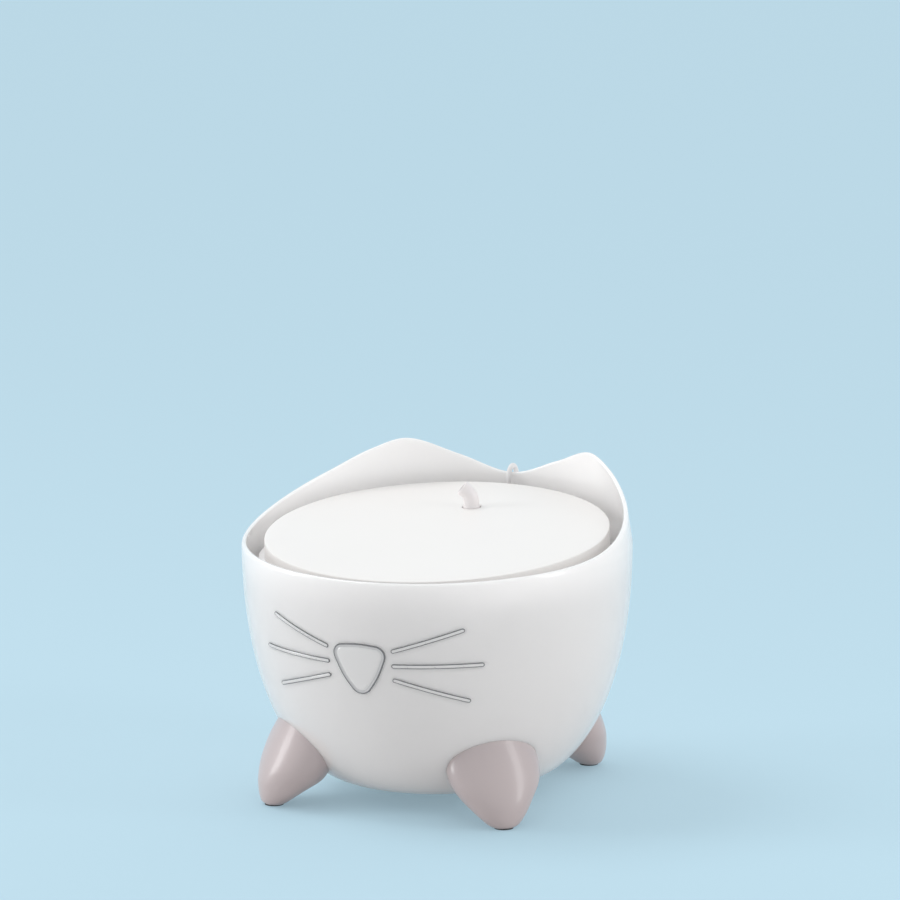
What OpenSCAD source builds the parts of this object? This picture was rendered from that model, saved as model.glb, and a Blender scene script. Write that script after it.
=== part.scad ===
// Drinking fountain for a cat: a footed bowl with a pump, a riser tube, a filter tray,
// a filter pad, a sloping lid and a spout, stacked on one another.
// Millimetres. +Z is up, the face looks along -Y, and the origin is on the table
// under the middle of the bowl.

/* [Bowl] */
// Outer radius of the bowl where its wall stands upright
bowl_r = 113; // [106:1:120]
// Thickness of the bowl's wall
bowl_wall = 2.5; // [2:0.1:3]
// Height of the bowl's underside above the table
bowl_lift = 9.5; // [8:0.5:12]
// Radius of the flat underside
flat_r = 50; // [44:1:56]
// Thickness of the bowl's flat floor
floor_t = 4.5; // [4:0.5:6]
// Height of the rim at the face, above the table
rim_front_z = 146; // [144:1:150]
// Height of the two ear tips above the rim at the face
ear_h = 40; // [30:1:46]
// Height of the rear valley between the ears above the rim at the face
valley_h = 20; // [16:1:22]
// Height of the seat that carries the filter tray, above the table
seat_z = 132; // [130:0.5:133]
// Width of the flat boss on the inside of the rear wall
boss_w = 90; // [70:1:96]

/* [Face] */
// Width of a whisker window
whisker_w = 2.6; // [2:0.1:3.4]
// Height of the middle of the nose window above the table
nose_z = 96; // [90:1:100]
// Width of the nose window between its corner centres
nose_w = 20; // [14:1:24]

/* [Feet] */
// Distance of a foot's tip inside the bowl's outer radius
foot_in = 11; // [9:0.5:13]
// Largest half-width of a foot
foot_half_w = 27.5; // [24:0.5:30]
// Angle of the front feet from the face
foot_front_at = 45; // [40:1:50]
// Angle of the rear feet from the back
foot_rear_at = 36; // [34:1:45]
// Diameter of a foot screw's shank
screw_d = 3; // [2.5:0.1:3.5]

/* [Tray] */
// Distance of the filter tray's edge inside the bowl's outer radius
tray_in = 9.8; // [9:0.1:11]
// Height of the filter tray's rim band
tray_h = 7; // [6:0.5:8]
// Thickness of the tray's plate and walls
tray_wall = 2; // [1.6:0.1:2.4]
// Diameter of the two finger holes
finger_d = 22; // [18:1:24]
// Width of the filter pocket on the outside
pocket_w = 92; // [88:1:96]
// Depth of the filter pocket below the top of the tray
pocket_h = 24; // [22:0.5:26]
// Distance of the filter's middle inside the tray's front edge
filter_in = 59.2; // [58.2:0.5:61.2]

/* [Filter] */
// Width of the filter's square sheet
filter_w = 87; // [84:0.5:87]
// Depth of the filter's four lobes
lobe_h = 7.6; // [6:0.1:8]
// Diameter of the filter's middle hole
filter_hole_d = 16; // [12:1:18]

/* [Lid] */
// Distance of the lid's edge inside the tray's
lid_in = 3.4; // [3:0.1:4]
// Height of the lid's edge at the face
lid_front_h = 5; // [5:0.5:6]
// Height of the lid's edge at the back
lid_rear_h = 21.8; // [18:0.2:22]
// Thickness of the lid
lid_wall = 2; // [1.6:0.1:2.4]
// Diameter of the hole that the spout stands in
lid_hole_d = 10.9; // [10.6:0.1:12]

/* [Water column] */
// Distance of the rising water column in from the tray's rear edge
jet_in = 53.2; // [52:0.1:56]
// Outer diameter of the pump's outlet
outlet_d = 9; // [8:0.1:9.4]
// Length of the pump's outlet
outlet_h = 16.5; // [15:0.5:19]
// Width of the clear riser tube across its corners
tube_d = 16.2; // [15:0.1:17]
// Length of the riser tube
tube_h = 41; // [38:0.5:42]
// Length of the tube that slips over the outlet
tube_grip = 5; // [4:0.5:9]
// Diameter of the spout's collar at its top
collar_d = 9.8; // [9.4:0.1:10.2]
// Length of the spout's collar
collar_h = 10.9; // [9:0.1:12]
// Angle of the spout's bend
spout_bend = 52; // [40:1:70]

/* [Cup] */
// Diameter of the cup's overhanging top
cup_d = 36; // [35:0.5:39]
// Height of the cup above the tray
cup_h = 12.5; // [11:0.5:12.5]
// Diameter of the cup's stem under the tray
stem_d = 20.5; // [20:0.5:24]
// Radius of the pull ring's bent rod, to the rod's middle
ring_r = 10; // [9:0.5:11]
// Thickness of the pull ring's rod
ring_rod_d = 4; // [3:0.2:4]

/* [Pump] */
// Length of the pump's case
pump_l = 46; // [44:0.5:48]
// Width of the pump's case
pump_w = 39.5; // [38:0.5:41]
// Height of the pump's case
pump_h = 29.5; // [29:0.5:32]
// Wall of the pump's case
pump_wall = 2; // [1.6:0.1:2.4]
// Angle of the pump's long side about the vertical
pump_turn = 225; // [215:1:235]
// Diameter of the flow knob
knob_d = 8.5; // [7:0.1:9]
// Diameter of the impeller
impeller_d = 20; // [16:0.5:21]
// Diameter of the rotor magnet
rotor_d = 13; // [11:0.5:13.5]
// Diameter of the impeller's shaft
shaft_d = 2; // [1.6:0.1:2.4]
// Height of a suction cup
sucker_h = 4.5; // [4:0.1:5]

/* [Cord] */
// Diameter of the cord
cord_d = 3; // [2.6:0.1:3.2]
// Number of loops in the coil
coil_loops = 9; // [7:1:11]
// Radius of the coil at the middle of its loops
coil_mid_r = 18; // [17:0.5:19]

/* [Hidden] */
$fn = 64;

eps = 0.01;      // overlap of a cutting tool past a face
fit = 0.05;      // clearance of a piece pressed into its seat
seat_gap = 0.1;  // gap of a lifted piece above its seat
slip = 0.3;      // clearance of a piece that lifts out

function unit(v) = v / norm(v);
// A point on the bowl's round plan, at an angle from the face
function around(r, psi, z) = [r * sin(psi), -r * cos(psi), z];

// ---- smooth curve through pairs of angle and height ----
function span_of(x, k, i = 0) = (i >= len(k) - 2 || x <= k[i + 1][0]) ? i : span_of(x, k, i + 1);
function slope_at(k, i) = (i == 0 || i == len(k) - 1) ? 0
    : (k[i + 1][1] - k[i - 1][1]) / (k[i + 1][0] - k[i - 1][0]);
function smooth(x, k) = let (
    i = span_of(x, k),
    h = k[i + 1][0] - k[i][0],
    t = (x - k[i][0]) / h)
    k[i][1] * (2 * t ^ 3 - 3 * t ^ 2 + 1) + slope_at(k, i) * h * (t ^ 3 - 2 * t ^ 2 + t)
    + k[i + 1][1] * (3 * t ^ 2 - 2 * t ^ 3) + slope_at(k, i + 1) * h * (t ^ 3 - t ^ 2);

// ---- sweeping a round section along points ----
function tangent(p, i) = unit(p[min(i + 1, len(p) - 1)] - p[max(i - 1, 0)]);
function across(u, t) = unit(u - t * (u * t));
function tube_rings(p, r, sides) = let (
    n = len(p),
    u = [for (i = 0, v = across([0.31, 0.17, 0.94], tangent(p, 0)); i < n;
        i = i + 1, v = i < n ? across(v, tangent(p, i)) : v) v])
    [for (i = [0 : n - 1]) let (w = cross(tangent(p, i), u[i]))
        [for (k = [0 : sides - 1]) let (a = 360 * k / sides)
            p[i] + r * (cos(a) * u[i] + sin(a) * w)]];

// ---- bowl outline ----
belly_power = 2.1;   // roundness of the belly
rim_lean = 0.15;     // inward lean of the wall above the front rim
wall_top = rim_front_z + ear_h + 14;
belly_steps = 22;
floor_z = bowl_lift + floor_t;
function belly(i, off) = let (a = 90 * i / belly_steps) [
    flat_r + (bowl_r - off - flat_r) * cos(90 - a) ^ (2 / belly_power),
    rim_front_z - (rim_front_z - bowl_lift - off) * sin(90 - a) ^ (2 / belly_power)];
function belly_r(z, off = 0) = let (
    t = min(1, max(0, (rim_front_z - z) / (rim_front_z - bowl_lift - off))))
    z > rim_front_z ? bowl_r - off - rim_lean * (z - rim_front_z)
    : flat_r + (bowl_r - off - flat_r) * (1 - t ^ belly_power) ^ (1 / belly_power);
module bowl_solid(off) {
    rotate_extrude($fn = 120)
        polygon(concat([[0, bowl_lift + off]],
            [for (i = [0 : belly_steps]) belly(i, off)],
            [[belly_r(wall_top, off), wall_top], [0, wall_top]]));
}

// Height of the rim against the angle from the face
rim_keys = [[0, 0], [45, 0.03 * ear_h], [75, 0.1 * ear_h], [95, 0.26 * ear_h],
    [120, 0.6 * ear_h], [135, 0.87 * ear_h], [147, ear_h],
    [163, (ear_h + valley_h) / 2], [180, valley_h]];
rim_steps = 96;
rim_cut_in = 25;
rim_cut_out = 10;
function rim_z(psi) = rim_front_z + smooth(abs(psi > 180 ? psi - 360 : psi), rim_keys);
module rim_cutter() {
    r_in = bowl_r - rim_cut_in;
    r_out = bowl_r + rim_cut_out;
    top = wall_top + rim_cut_out;
    n = rim_steps;
    corners = [for (i = [0 : n - 1]) let (psi = 360 * i / n, z = rim_z(psi))
        each [around(r_in, psi, z), around(r_out, psi, z),
            around(r_out, psi, top), around(r_in, psi, top)]];
    sides = [for (i = [0 : n - 1]) for (k = [0 : 3]) let (
        a = 4 * i + k, b = 4 * i + (k + 1) % 4,
        c = 4 * ((i + 1) % n) + (k + 1) % 4, d = 4 * ((i + 1) % n) + k)
        each [[a, b, c], [a, c, d]]];
    polyhedron(corners, sides);
}

// ---- face ----
whisker_reach = 40;  // depth of a cutting prism
// Each whisker: angle and height of its outer end, then of its inner end
whiskers = [[31.2, 23, 10.7, 10.5], [37.2, 2.2, 10.7, 1.5], [33.4, -19.3, 10.8, -7]];
module slot_prism(p, q, w) {
    mid = (p + q) / 2;
    turn = atan2(mid[0], -mid[1]);
    flat_p = [p[0] * cos(turn) + p[1] * sin(turn), p[2]];
    flat_q = [q[0] * cos(turn) + q[1] * sin(turn), q[2]];
    run = flat_q - flat_p;
    rotate([0, 0, turn])
        translate([0, -bowl_r + whisker_reach / 2, 0])
            rotate([90, 0, 0])
                linear_extrude(whisker_reach)
                    translate(flat_p)
                        rotate(atan2(run[1], run[0])) {
                            translate([0, -w / 2])
                                square([norm(run), w]);
                            circle(d = w, $fn = 24);
                            translate([norm(run), 0])
                                circle(d = w, $fn = 24);
                        }
}
module whisker_prisms(w) {
    for (side = [-1, 1], k = whiskers) {
        z_out = nose_z + k[1];
        z_in = nose_z + k[3];
        slot_prism(around(belly_r(z_out), side * k[0], z_out),
            around(belly_r(z_in), side * k[2], z_in), w);
    }
}
nose_corner_r = 6;
nose_up = 7;       // height of the upper corner centres above the nose's middle
nose_down = 10.5;  // depth of the lower corner centre below it
module nose_prism(grow) {
    translate([0, -bowl_r + whisker_reach / 2, nose_z])
        rotate([90, 0, 0])
            linear_extrude(whisker_reach)
                hull() {
                    for (side = [-1, 1])
                        translate([side * nose_w / 2, nose_up])
                            circle(r = nose_corner_r + grow, $fn = 24);
                    translate([0, -nose_down])
                        circle(r = nose_corner_r + grow, $fn = 24);
                }
}

// ---- feet ----
foot_angles = [-foot_front_at, foot_front_at, foot_rear_at - 180, 180 - foot_rear_at];
foot_r = bowl_r - foot_in;
foot_peg_r = foot_r - 9;
foot_peg_d = 9;
foot_peg_z = 22;      // lowest point of a peg
pad_d = 11;
pad_h = 2;
pad_show = 0.6;       // rubber that stands out under the foot
screw_head_d = 5.6;
screw_head_h = 2;
screw_head_z = 15;
screw_l = 16;
// Rings of a foot: height, distance of the middle inward of the tip,
// half-depth, and half-width as a share of the foot's half-width
foot_rings = [[pad_show, 0, 6.3, 0.26], [3, 1, 8.5, 0.37], [8, 4.5, 12.9, 0.55],
    [15, 10.4, 18.7, 0.76], [23, 13.4, 19.7, 0.94], [31, 16.4, 19.7, 1],
    [39, 19.1, 18.9, 0.96], [47, 21.8, 17.3, 0.86], [54, 24.2, 15.7, 0.73], [60, 26.2, 13.8, 0.62]];
foot_sides = 32;
module loft(rings) {
    n = len(rings[0]);
    m = len(rings);
    polyhedron([for (r = rings) each r], concat(
        [[for (i = [0 : n - 1]) i]],
        [for (j = [0 : m - 2]) for (i = [0 : n - 1]) let (
            a = j * n + i, b = j * n + (i + 1) % n, c = b + n, d = a + n)
            each [[d, c, b], [d, b, a]]],
        [[for (i = [n - 1 : -1 : 0]) (m - 1) * n + i]]));
}
module foot_body() {
    loft([for (k = foot_rings) [for (i = [0 : foot_sides - 1]) let (a = 360 * i / foot_sides)
        [foot_half_w * k[3] * cos(a), -(foot_r - k[1]) + k[2] * sin(a), k[0]]]]);
}
module foot(psi) {
    color("rosybrown")
        difference() {
            rotate([0, 0, psi])
                foot_body();
            bowl_solid(-seat_gap);
            rotate([0, 0, psi]) {
                translate([0, -foot_peg_r, foot_peg_z - seat_gap])
                    cylinder(d = foot_peg_d + 2 * fit, h = 60);
                translate([0, -foot_peg_r, 0])
                    cylinder(d = screw_d + 2 * slip, h = 60);
                translate([0, -foot_peg_r, -eps])
                    cylinder(d = screw_head_d + 2 * slip, h = screw_head_z + screw_head_h);
                translate([0, -foot_r, 0])
                    cylinder(d = pad_d + 2 * fit, h = pad_h);
            }
        }
}

// ---- bowl ----
tray_r = bowl_r - tray_in;
jet_y = tray_r - jet_in;        // distance of the water column behind the bowl's axis
rib_t = 2.5;
rib_in = tray_r - 2.4;      // distance of a rib's edge from the bowl's axis
rib_low = 60;
rib_angles = [-119, -45, 45, 119];
boss_y = tray_r - 7.2;      // distance of the rear boss's flat face from the bowl's axis
boss_low = 58;
cord_slot_w = 8;
cord_slot_z = 106;
module bowl_shell() {
    color("white")
        difference() {
            union() {
                difference() {
                    bowl_solid(0);
                    intersection() {
                        bowl_solid(bowl_wall);
                        translate([-bowl_r, -bowl_r, floor_z])
                            cube([2 * bowl_r, 2 * bowl_r, 200]);
                    }
                }
                seat_ribs();
                foot_pegs();
            }
            rim_cutter();
            whisker_prisms(whisker_w);
            nose_prism(0);
            for (psi = foot_angles)
                rotate([0, 0, psi])
                    translate([0, -foot_peg_r, foot_peg_z - eps])
                        cylinder(d = screw_d + 2 * fit, h = 14);
        }
}
module seat_ribs() {
    intersection() {
        bowl_solid(bowl_wall / 2);
        union() {
            for (psi = rib_angles)
                rotate([0, 0, psi])
                    translate([-rib_t / 2, -bowl_r, rib_low])
                        cube([rib_t, bowl_r - rib_in, seat_z - rib_low]);
            difference() {
                translate([-boss_w / 2, boss_y, boss_low])
                    cube([boss_w, 20, seat_z - boss_low]);
                translate([-boss_w / 2 + bowl_wall, boss_y + bowl_wall, boss_low - eps])
                    cube([boss_w - 2 * bowl_wall, 20, seat_z - boss_low - bowl_wall]);
                translate([-cord_slot_w / 2, boss_y - eps, cord_slot_z])
                    cube([cord_slot_w, 12, seat_z]);
            }
        }
    }
}
module foot_pegs() {
    difference() {
        for (psi = foot_angles)
            rotate([0, 0, psi])
                translate([0, -foot_peg_r, foot_peg_z])
                    cylinder(d = foot_peg_d, h = 40);
        bowl_solid(bowl_wall / 2);
    }
}
window_proud = 0.4;
module wall_skin() {
    difference() {
        bowl_solid(-window_proud);
        bowl_solid(bowl_wall);
    }
}
module nose_window() {
    color("silver")
        intersection() {
            wall_skin();
            nose_prism(-fit);
        }
}
module whisker_windows() {
    color("gainsboro")
        intersection() {
            wall_skin();
            whisker_prisms(whisker_w - 2 * fit);
        }
}
module foot_pads() {
    color("dimgray")
        for (psi = foot_angles)
            rotate([0, 0, psi])
                translate([0, -foot_r, 0])
                    cylinder(d = pad_d, h = pad_h - seat_gap);
}
module foot_screws() {
    color("silver")
        for (psi = foot_angles)
            rotate([0, 0, psi])
                translate([0, -foot_peg_r, screw_head_z]) {
                    cylinder(d = screw_head_d, h = screw_head_h - seat_gap);
                    cylinder(d = screw_d, h = screw_l);
                }
}

// ---- pump ----
// In the pump's own frame +X runs to the end with the lamp, and z = 0 is its underside.
outlet_at = [-0.235 * pump_l, 0];
pump_z = floor_z + sucker_h + slip;
pump_xy = [0, jet_y] - [outlet_at[0] * cos(pump_turn) - outlet_at[1] * sin(pump_turn),
    outlet_at[0] * sin(pump_turn) + outlet_at[1] * cos(pump_turn)];
axis_z = pump_h / 2;
case_corner_r = 5;
cover_t = 2.5;
chamber_x = -pump_l / 2 + cover_t;   // the open face of the impeller chamber
chamber_l = 14.3;
chamber_r = impeller_d / 2 + 1.8;
well_x = chamber_x + chamber_l;      // where the rotor's well starts
well_r = rotor_d / 2 + 1;
well_l = 12;
bush_d = 6;
bush_l = 2;
well_wall = 1.2;
dry_x = well_x + pump_wall;
panel_t = 1.8;
panel_x = pump_l / 2 - 3.5;          // inner face of the recessed end panel
outlet_bore_d = 6;
bar_w = pump_w - 2 * pump_wall;
bar_h = pump_h - 2 * pump_wall;
module in_pump() {
    translate([pump_xy[0], pump_xy[1], pump_z])
        rotate([0, 0, pump_turn])
            children();
}
// A bar along X with rounded long edges
module round_bar(x0, x1, w, h, r, z0 = 0) {
    translate([x0, 0, z0 + h / 2])
        rotate([90, 0, 90])
            linear_extrude(x1 - x0) {
                square([w - 2 * r, h], center = true);
                square([w, h - 2 * r], center = true);
                for (sy = [-1, 1], sz = [-1, 1])
                    translate([sy * (w / 2 - r), sz * (h / 2 - r)])
                        circle(r = r, $fn = 32);
            }
}
module along_x(x0, y, z) {
    translate([x0, y, z])
        rotate([0, 90, 0])
            children();
}
emblem_size = [16, 10];
module pump_housing() {
    color("gainsboro")
        in_pump()
            difference() {
                union() {
                    round_bar(chamber_x, pump_l / 2, pump_w, pump_h, case_corner_r);
                    translate([outlet_at[0], outlet_at[1], axis_z])
                        cylinder(d = outlet_d, h = pump_h - axis_z + outlet_h);
                    translate([5 - emblem_size[0] / 2, -4 - emblem_size[1] / 2, pump_h - eps])
                        cube([emblem_size[0], emblem_size[1], 0.4]);
                }
                translate([5 - emblem_size[0] / 2 + 1, -4 - emblem_size[1] / 2 + 1, pump_h])
                    cube([emblem_size[0] - 2, emblem_size[1] - 2, 1]);
                along_x(chamber_x - eps, 0, axis_z)
                    cylinder(r = chamber_r, h = chamber_l + eps);
                along_x(well_x - eps, 0, axis_z)
                    cylinder(r = well_r, h = well_l + eps);
                along_x(well_x, 0, axis_z)
                    cylinder(d = bush_d + 2 * fit, h = well_l + bush_l);
                translate([outlet_at[0], outlet_at[1], axis_z])
                    cylinder(d = outlet_bore_d, h = 60);
                difference() {
                    round_bar(dry_x, pump_l / 2 + 1, bar_w, bar_h,
                        case_corner_r - pump_wall + 0.5, pump_wall);
                    along_x(dry_x - 1, 0, axis_z)
                        cylinder(r = well_r + well_wall, h = well_l + bush_l + 0.2);
                }
                for (p = sucker_places)
                    translate([p[0], p[1], -eps])
                        cylinder(d = nub_d + 2 * fit, h = nub_h + seat_gap);
            }
}
module pump_end_panel() {
    color("lightgray")
        in_pump()
            difference() {
                round_bar(panel_x, panel_x + panel_t, bar_w - 2 * fit, bar_h - 2 * fit,
                    case_corner_r - pump_wall + 0.5, pump_wall + fit);
                along_x(panel_x - 1, knob_at[0], knob_at[1])
                    cylinder(d = knob_stem_d + 2 * fit, h = 5);
                along_x(panel_x - 1, led_at[0], led_at[1])
                    cylinder(d = led_d + 2 * fit, h = 5);
                along_x(panel_x - 1, sensor_at[0], sensor_at[1])
                    cylinder(d = led_d + 2 * fit, h = 5);
                along_x(panel_x - 1, gland_at[0], gland_at[1])
                    cylinder(d = gland_neck_d + 2 * fit, h = 5);
            }
}
slot_count = 7;
slot_pitch = 3.6;
module inlet_cover() {
    hub_l = 3;
    color("whitesmoke")
        in_pump()
            difference() {
                union() {
                    difference() {
                        round_bar(-pump_l / 2, chamber_x - fit, pump_w, pump_h, case_corner_r);
                        for (i = [0 : slot_count - 1])
                            translate([-pump_l / 2 - 1,
                                (i - (slot_count - 1) / 2) * slot_pitch - 1, axis_z - 7])
                                cube([cover_t + 2, 2, 14]);
                    }
                    along_x(-pump_l / 2, 0, axis_z)
                        cylinder(d = bush_d + 3, h = cover_t + hub_l);
                    along_x(-pump_l / 2, 0, axis_z)
                        difference() {
                            cylinder(r = chamber_r - fit, h = cover_t + 1.5);
                            translate([0, 0, cover_t - fit])
                                cylinder(r = chamber_r - 1.2, h = 4);
                            translate([0, 0, -eps])
                                cylinder(r = chamber_r - 1.2, h = 4);
                        }
                }
                along_x(-pump_l / 2 + 1, 0, axis_z)
                    cylinder(d = bush_d + 2 * fit, h = 10);
            }
}
hub_d = 7;
hub_x = chamber_x + 3.8;
blade_h = 7;
blade_count = 6;
module impeller() {
    color("white")
        in_pump()
            along_x(hub_x, 0, axis_z)
                difference() {
                    union() {
                        cylinder(d = hub_d, h = blade_h + 1);
                        for (i = [0 : blade_count - 1])
                            rotate([0, 0, 360 / blade_count * i])
                                translate([-0.6, 0, 0])
                                    cube([1.2, impeller_d / 2, blade_h]);
                        translate([0, 0, blade_h])
                            cylinder(d = impeller_d - 2, h = 1);
                    }
                    translate([0, 0, -eps])
                        cylinder(d = shaft_d + 0.04, h = blade_h + 2);
                }
}
rotor_x = well_x + 0.6;
rotor_l = well_l - 2;
module rotor_magnet() {
    color("dimgray")
        in_pump()
            along_x(rotor_x, 0, axis_z)
                difference() {
                    cylinder(d = rotor_d, h = rotor_l);
                    translate([0, 0, -eps])
                        cylinder(d = shaft_d + 0.04, h = rotor_l + 1);
                }
}
shaft_x = -pump_l / 2 + 1.4;
module impeller_shaft() {
    color("silver")
        in_pump()
            along_x(shaft_x, 0, axis_z)
                cylinder(d = shaft_d, h = well_x + well_l + bush_l - 0.4 - shaft_x);
}
module shaft_bushes() {
    color("ivory")
        in_pump()
            for (x = [-pump_l / 2 + 1 + fit, well_x + well_l])
                along_x(x, 0, axis_z)
                    difference() {
                        cylinder(d = bush_d, h = bush_l - fit);
                        translate([0, 0, -eps])
                            cylinder(d = shaft_d + 2 * fit, h = bush_l + 1);
                    }
}
leg_w = 6;
core_h = 12;
leg_y = well_r + well_wall + 0.3;
core_end = panel_x - 0.8;
module stator_core() {
    color("slategray")
        in_pump()
            translate([0, 0, axis_z - core_h / 2]) {
                for (side = [-1, 1])
                    translate([dry_x + slip, side > 0 ? leg_y : -leg_y - leg_w, 0])
                        cube([core_end - dry_x - slip, leg_w, core_h]);
                translate([core_end - 4, -leg_y - 1, 0])
                    cube([4, 2 * leg_y + 2, core_h]);
            }
}
winding_t = 2;
coil_x = well_x + well_l + bush_l + 1.6;
module stator_coils() {
    color("peru")
        in_pump()
            for (side = [-1, 1])
                translate([0, side * (leg_y + leg_w / 2), 0])
                    difference() {
                        round_bar(coil_x, core_end - 4.3, leg_w + 2 * winding_t,
                            core_h + 2 * winding_t, 1.5, axis_z - core_h / 2 - winding_t);
                        translate([coil_x - 1, -leg_w / 2 - fit, axis_z - core_h / 2 - fit])
                            cube([30, leg_w + 2 * fit, core_h + 2 * fit]);
                    }
}
knob_at = [13, 21.8];
knob_reach = 10;      // how far the knob stands out of the case
knob_stem_d = 3;
knob_rib_count = 12;
module flow_knob() {
    color("whitesmoke")
        in_pump() {
            along_x(panel_x + panel_t + slip, knob_at[0], knob_at[1])
                difference() {
                    cylinder(d = knob_d, h = pump_l / 2 + knob_reach - panel_x - panel_t - slip);
                    for (i = [0 : knob_rib_count - 1])
                        rotate([0, 0, 360 / knob_rib_count * i])
                            translate([knob_d / 2 + 0.2, 0, 3])
                                cylinder(r = 0.5, h = 30, $fn = 16);
                }
            along_x(panel_x - 0.4, knob_at[0], knob_at[1])
                cylinder(d = knob_stem_d, h = panel_t + 2);
        }
}
led_at = [-1, 6];
sensor_at = [-8, 5.5];
led_d = 3.5;
module lamp_dome(at) {
    in_pump() {
        along_x(panel_x, at[0], at[1])
            cylinder(d = led_d, h = panel_t + 0.8);
        translate([panel_x + panel_t + 0.8, at[0], at[1]])
            sphere(d = led_d, $fn = 32);
    }
}
module led_lens() {
    color("red")
        lamp_dome(led_at);
}
module sensor_lens() {
    color("lightgray")
        lamp_dome(sensor_at);
}
nub_d = 3;
nub_h = 1.2;
sucker_places = [[-9, -8], [-9, 8], [14, -8], [14, 8]];
module suction_cups() {
    color("lightgray")
        in_pump()
            for (p = sucker_places)
                translate([p[0], p[1], -sucker_h])
                    rotate_extrude($fn = 32)
                        polygon([[0, 2], [1.5, 1.6], [4.8, 0], [5.6, 0], [5.4, 0.8], [2.4, 2.8],
                            [2.2, sucker_h - eps], [nub_d / 2, sucker_h - eps],
                            [nub_d / 2, sucker_h + nub_h], [0, sucker_h + nub_h]]);
}
gland_at = [-13.5, 22.5];
gland_neck_d = 5;
gland_end = pump_l / 2 + 5.25;
module cord_gland() {
    color("whitesmoke")
        in_pump() {
            along_x(panel_x, gland_at[0], gland_at[1])
                cylinder(d = gland_neck_d, h = panel_t + 1);
            along_x(panel_x + panel_t + fit, gland_at[0], gland_at[1])
                rotate_extrude($fn = 48)
                    polygon([[0, 0], [3.6, 0], [3.6, 2.6], [3.2, 3.2],
                        [cord_d / 2 + 0.7, gland_end - panel_x - panel_t - fit],
                        [0, gland_end - panel_x - panel_t - fit]]);
        }
}

// ---- riser tube ----
tube_low = pump_z + pump_h + outlet_h + slip - tube_grip;
tube_top = tube_low + tube_h;
tube_bore_d = 7.6;
tube_turn = 8;
tray_top = seat_z + seat_gap + tray_h;
module at_jet() {
    translate([0, jet_y, 0])
        children();
}
module riser_tube() {
    color("aliceblue")
        at_jet()
            difference() {
                translate([0, 0, tube_low])
                    rotate([0, 0, tube_turn + 30])
                        cylinder(d = tube_d, h = tube_h, $fn = 6);
                translate([0, 0, tube_low - eps])
                    cylinder(d = outlet_d + 4 * fit, h = tube_grip + eps);
                translate([0, 0, tube_low])
                    cylinder(d = tube_bore_d, h = tube_h + 1);
            }
}

// ---- filter tray ----
basin_r = 91;         // radius of the basin's rear edge
basin_y = 56;         // distance of that radius's middle in front of the bowl's axis
basin_rim = 6.5;      // flat left between the basin and the tray's edge
basin_low = tray_top - 3;       // height where the basin's slope meets the filter pocket
ledge_z = tray_top - 7.6;       // height of the ledge under the filter's sheet
lobe_floor = ledge_z - lobe_h - 0.8;
filter_y = tray_r - filter_in;
finger_well_r = 11;   // radius of the finger well behind the filter pocket
finger_well_y = tray_r - 89.7;
pocket_wall = (pocket_w - filter_w) / 2 - slip;
pocket_corner_r = 20;
lobe_r = filter_w / 4 - 1.3;
lobe_at = filter_w / 4 - 0.9;
drain_d = 26;
notch_w = 36;
notch_in = 17;
finger_r = 72;
finger_at = 121.5;
module lens(grow) {
    intersection() {
        circle(r = tray_r - basin_rim + grow, $fn = 96);
        translate([0, -basin_y])
            circle(r = basin_r + grow, $fn = 96);
    }
}
module round_square(w, r) {
    square([w, w - 2 * r], center = true);
    square([w - 2 * r, w], center = true);
    for (sx = [-1, 1], sy = [-1, 1])
        translate([sx * (w / 2 - r), sy * (w / 2 - r)])
            circle(r = r, $fn = 48);
}
module lobes(r) {
    for (sx = [-1, 1], sy = [-1, 1])
        translate([sx * lobe_at, sy * lobe_at])
            circle(r = r, $fn = 48);
    circle(r = lobe_at, $fn = 48);
}
module at_filter(z) {
    translate([0, -filter_y, z])
        children();
}
module basin_hull(grow, top) {
    intersection() {
        hull() {
            translate([0, 0, top])
                linear_extrude(0.1)
                    lens(grow);
            at_filter(basin_low - grow)
                linear_extrude(0.1)
                    round_square(pocket_w - 2 * pocket_wall + 2 * grow, pocket_corner_r);
        }
        cylinder(r = tray_r - tray_wall / 2, h = 300);
    }
}
module finger_well(r, low) {
    translate([0, 0, low])
        linear_extrude(tray_top - tray_wall - low)
            hull()
                for (y = [-finger_well_r, finger_well_y])
                    translate([0, y])
                        circle(r = r);
}
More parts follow.
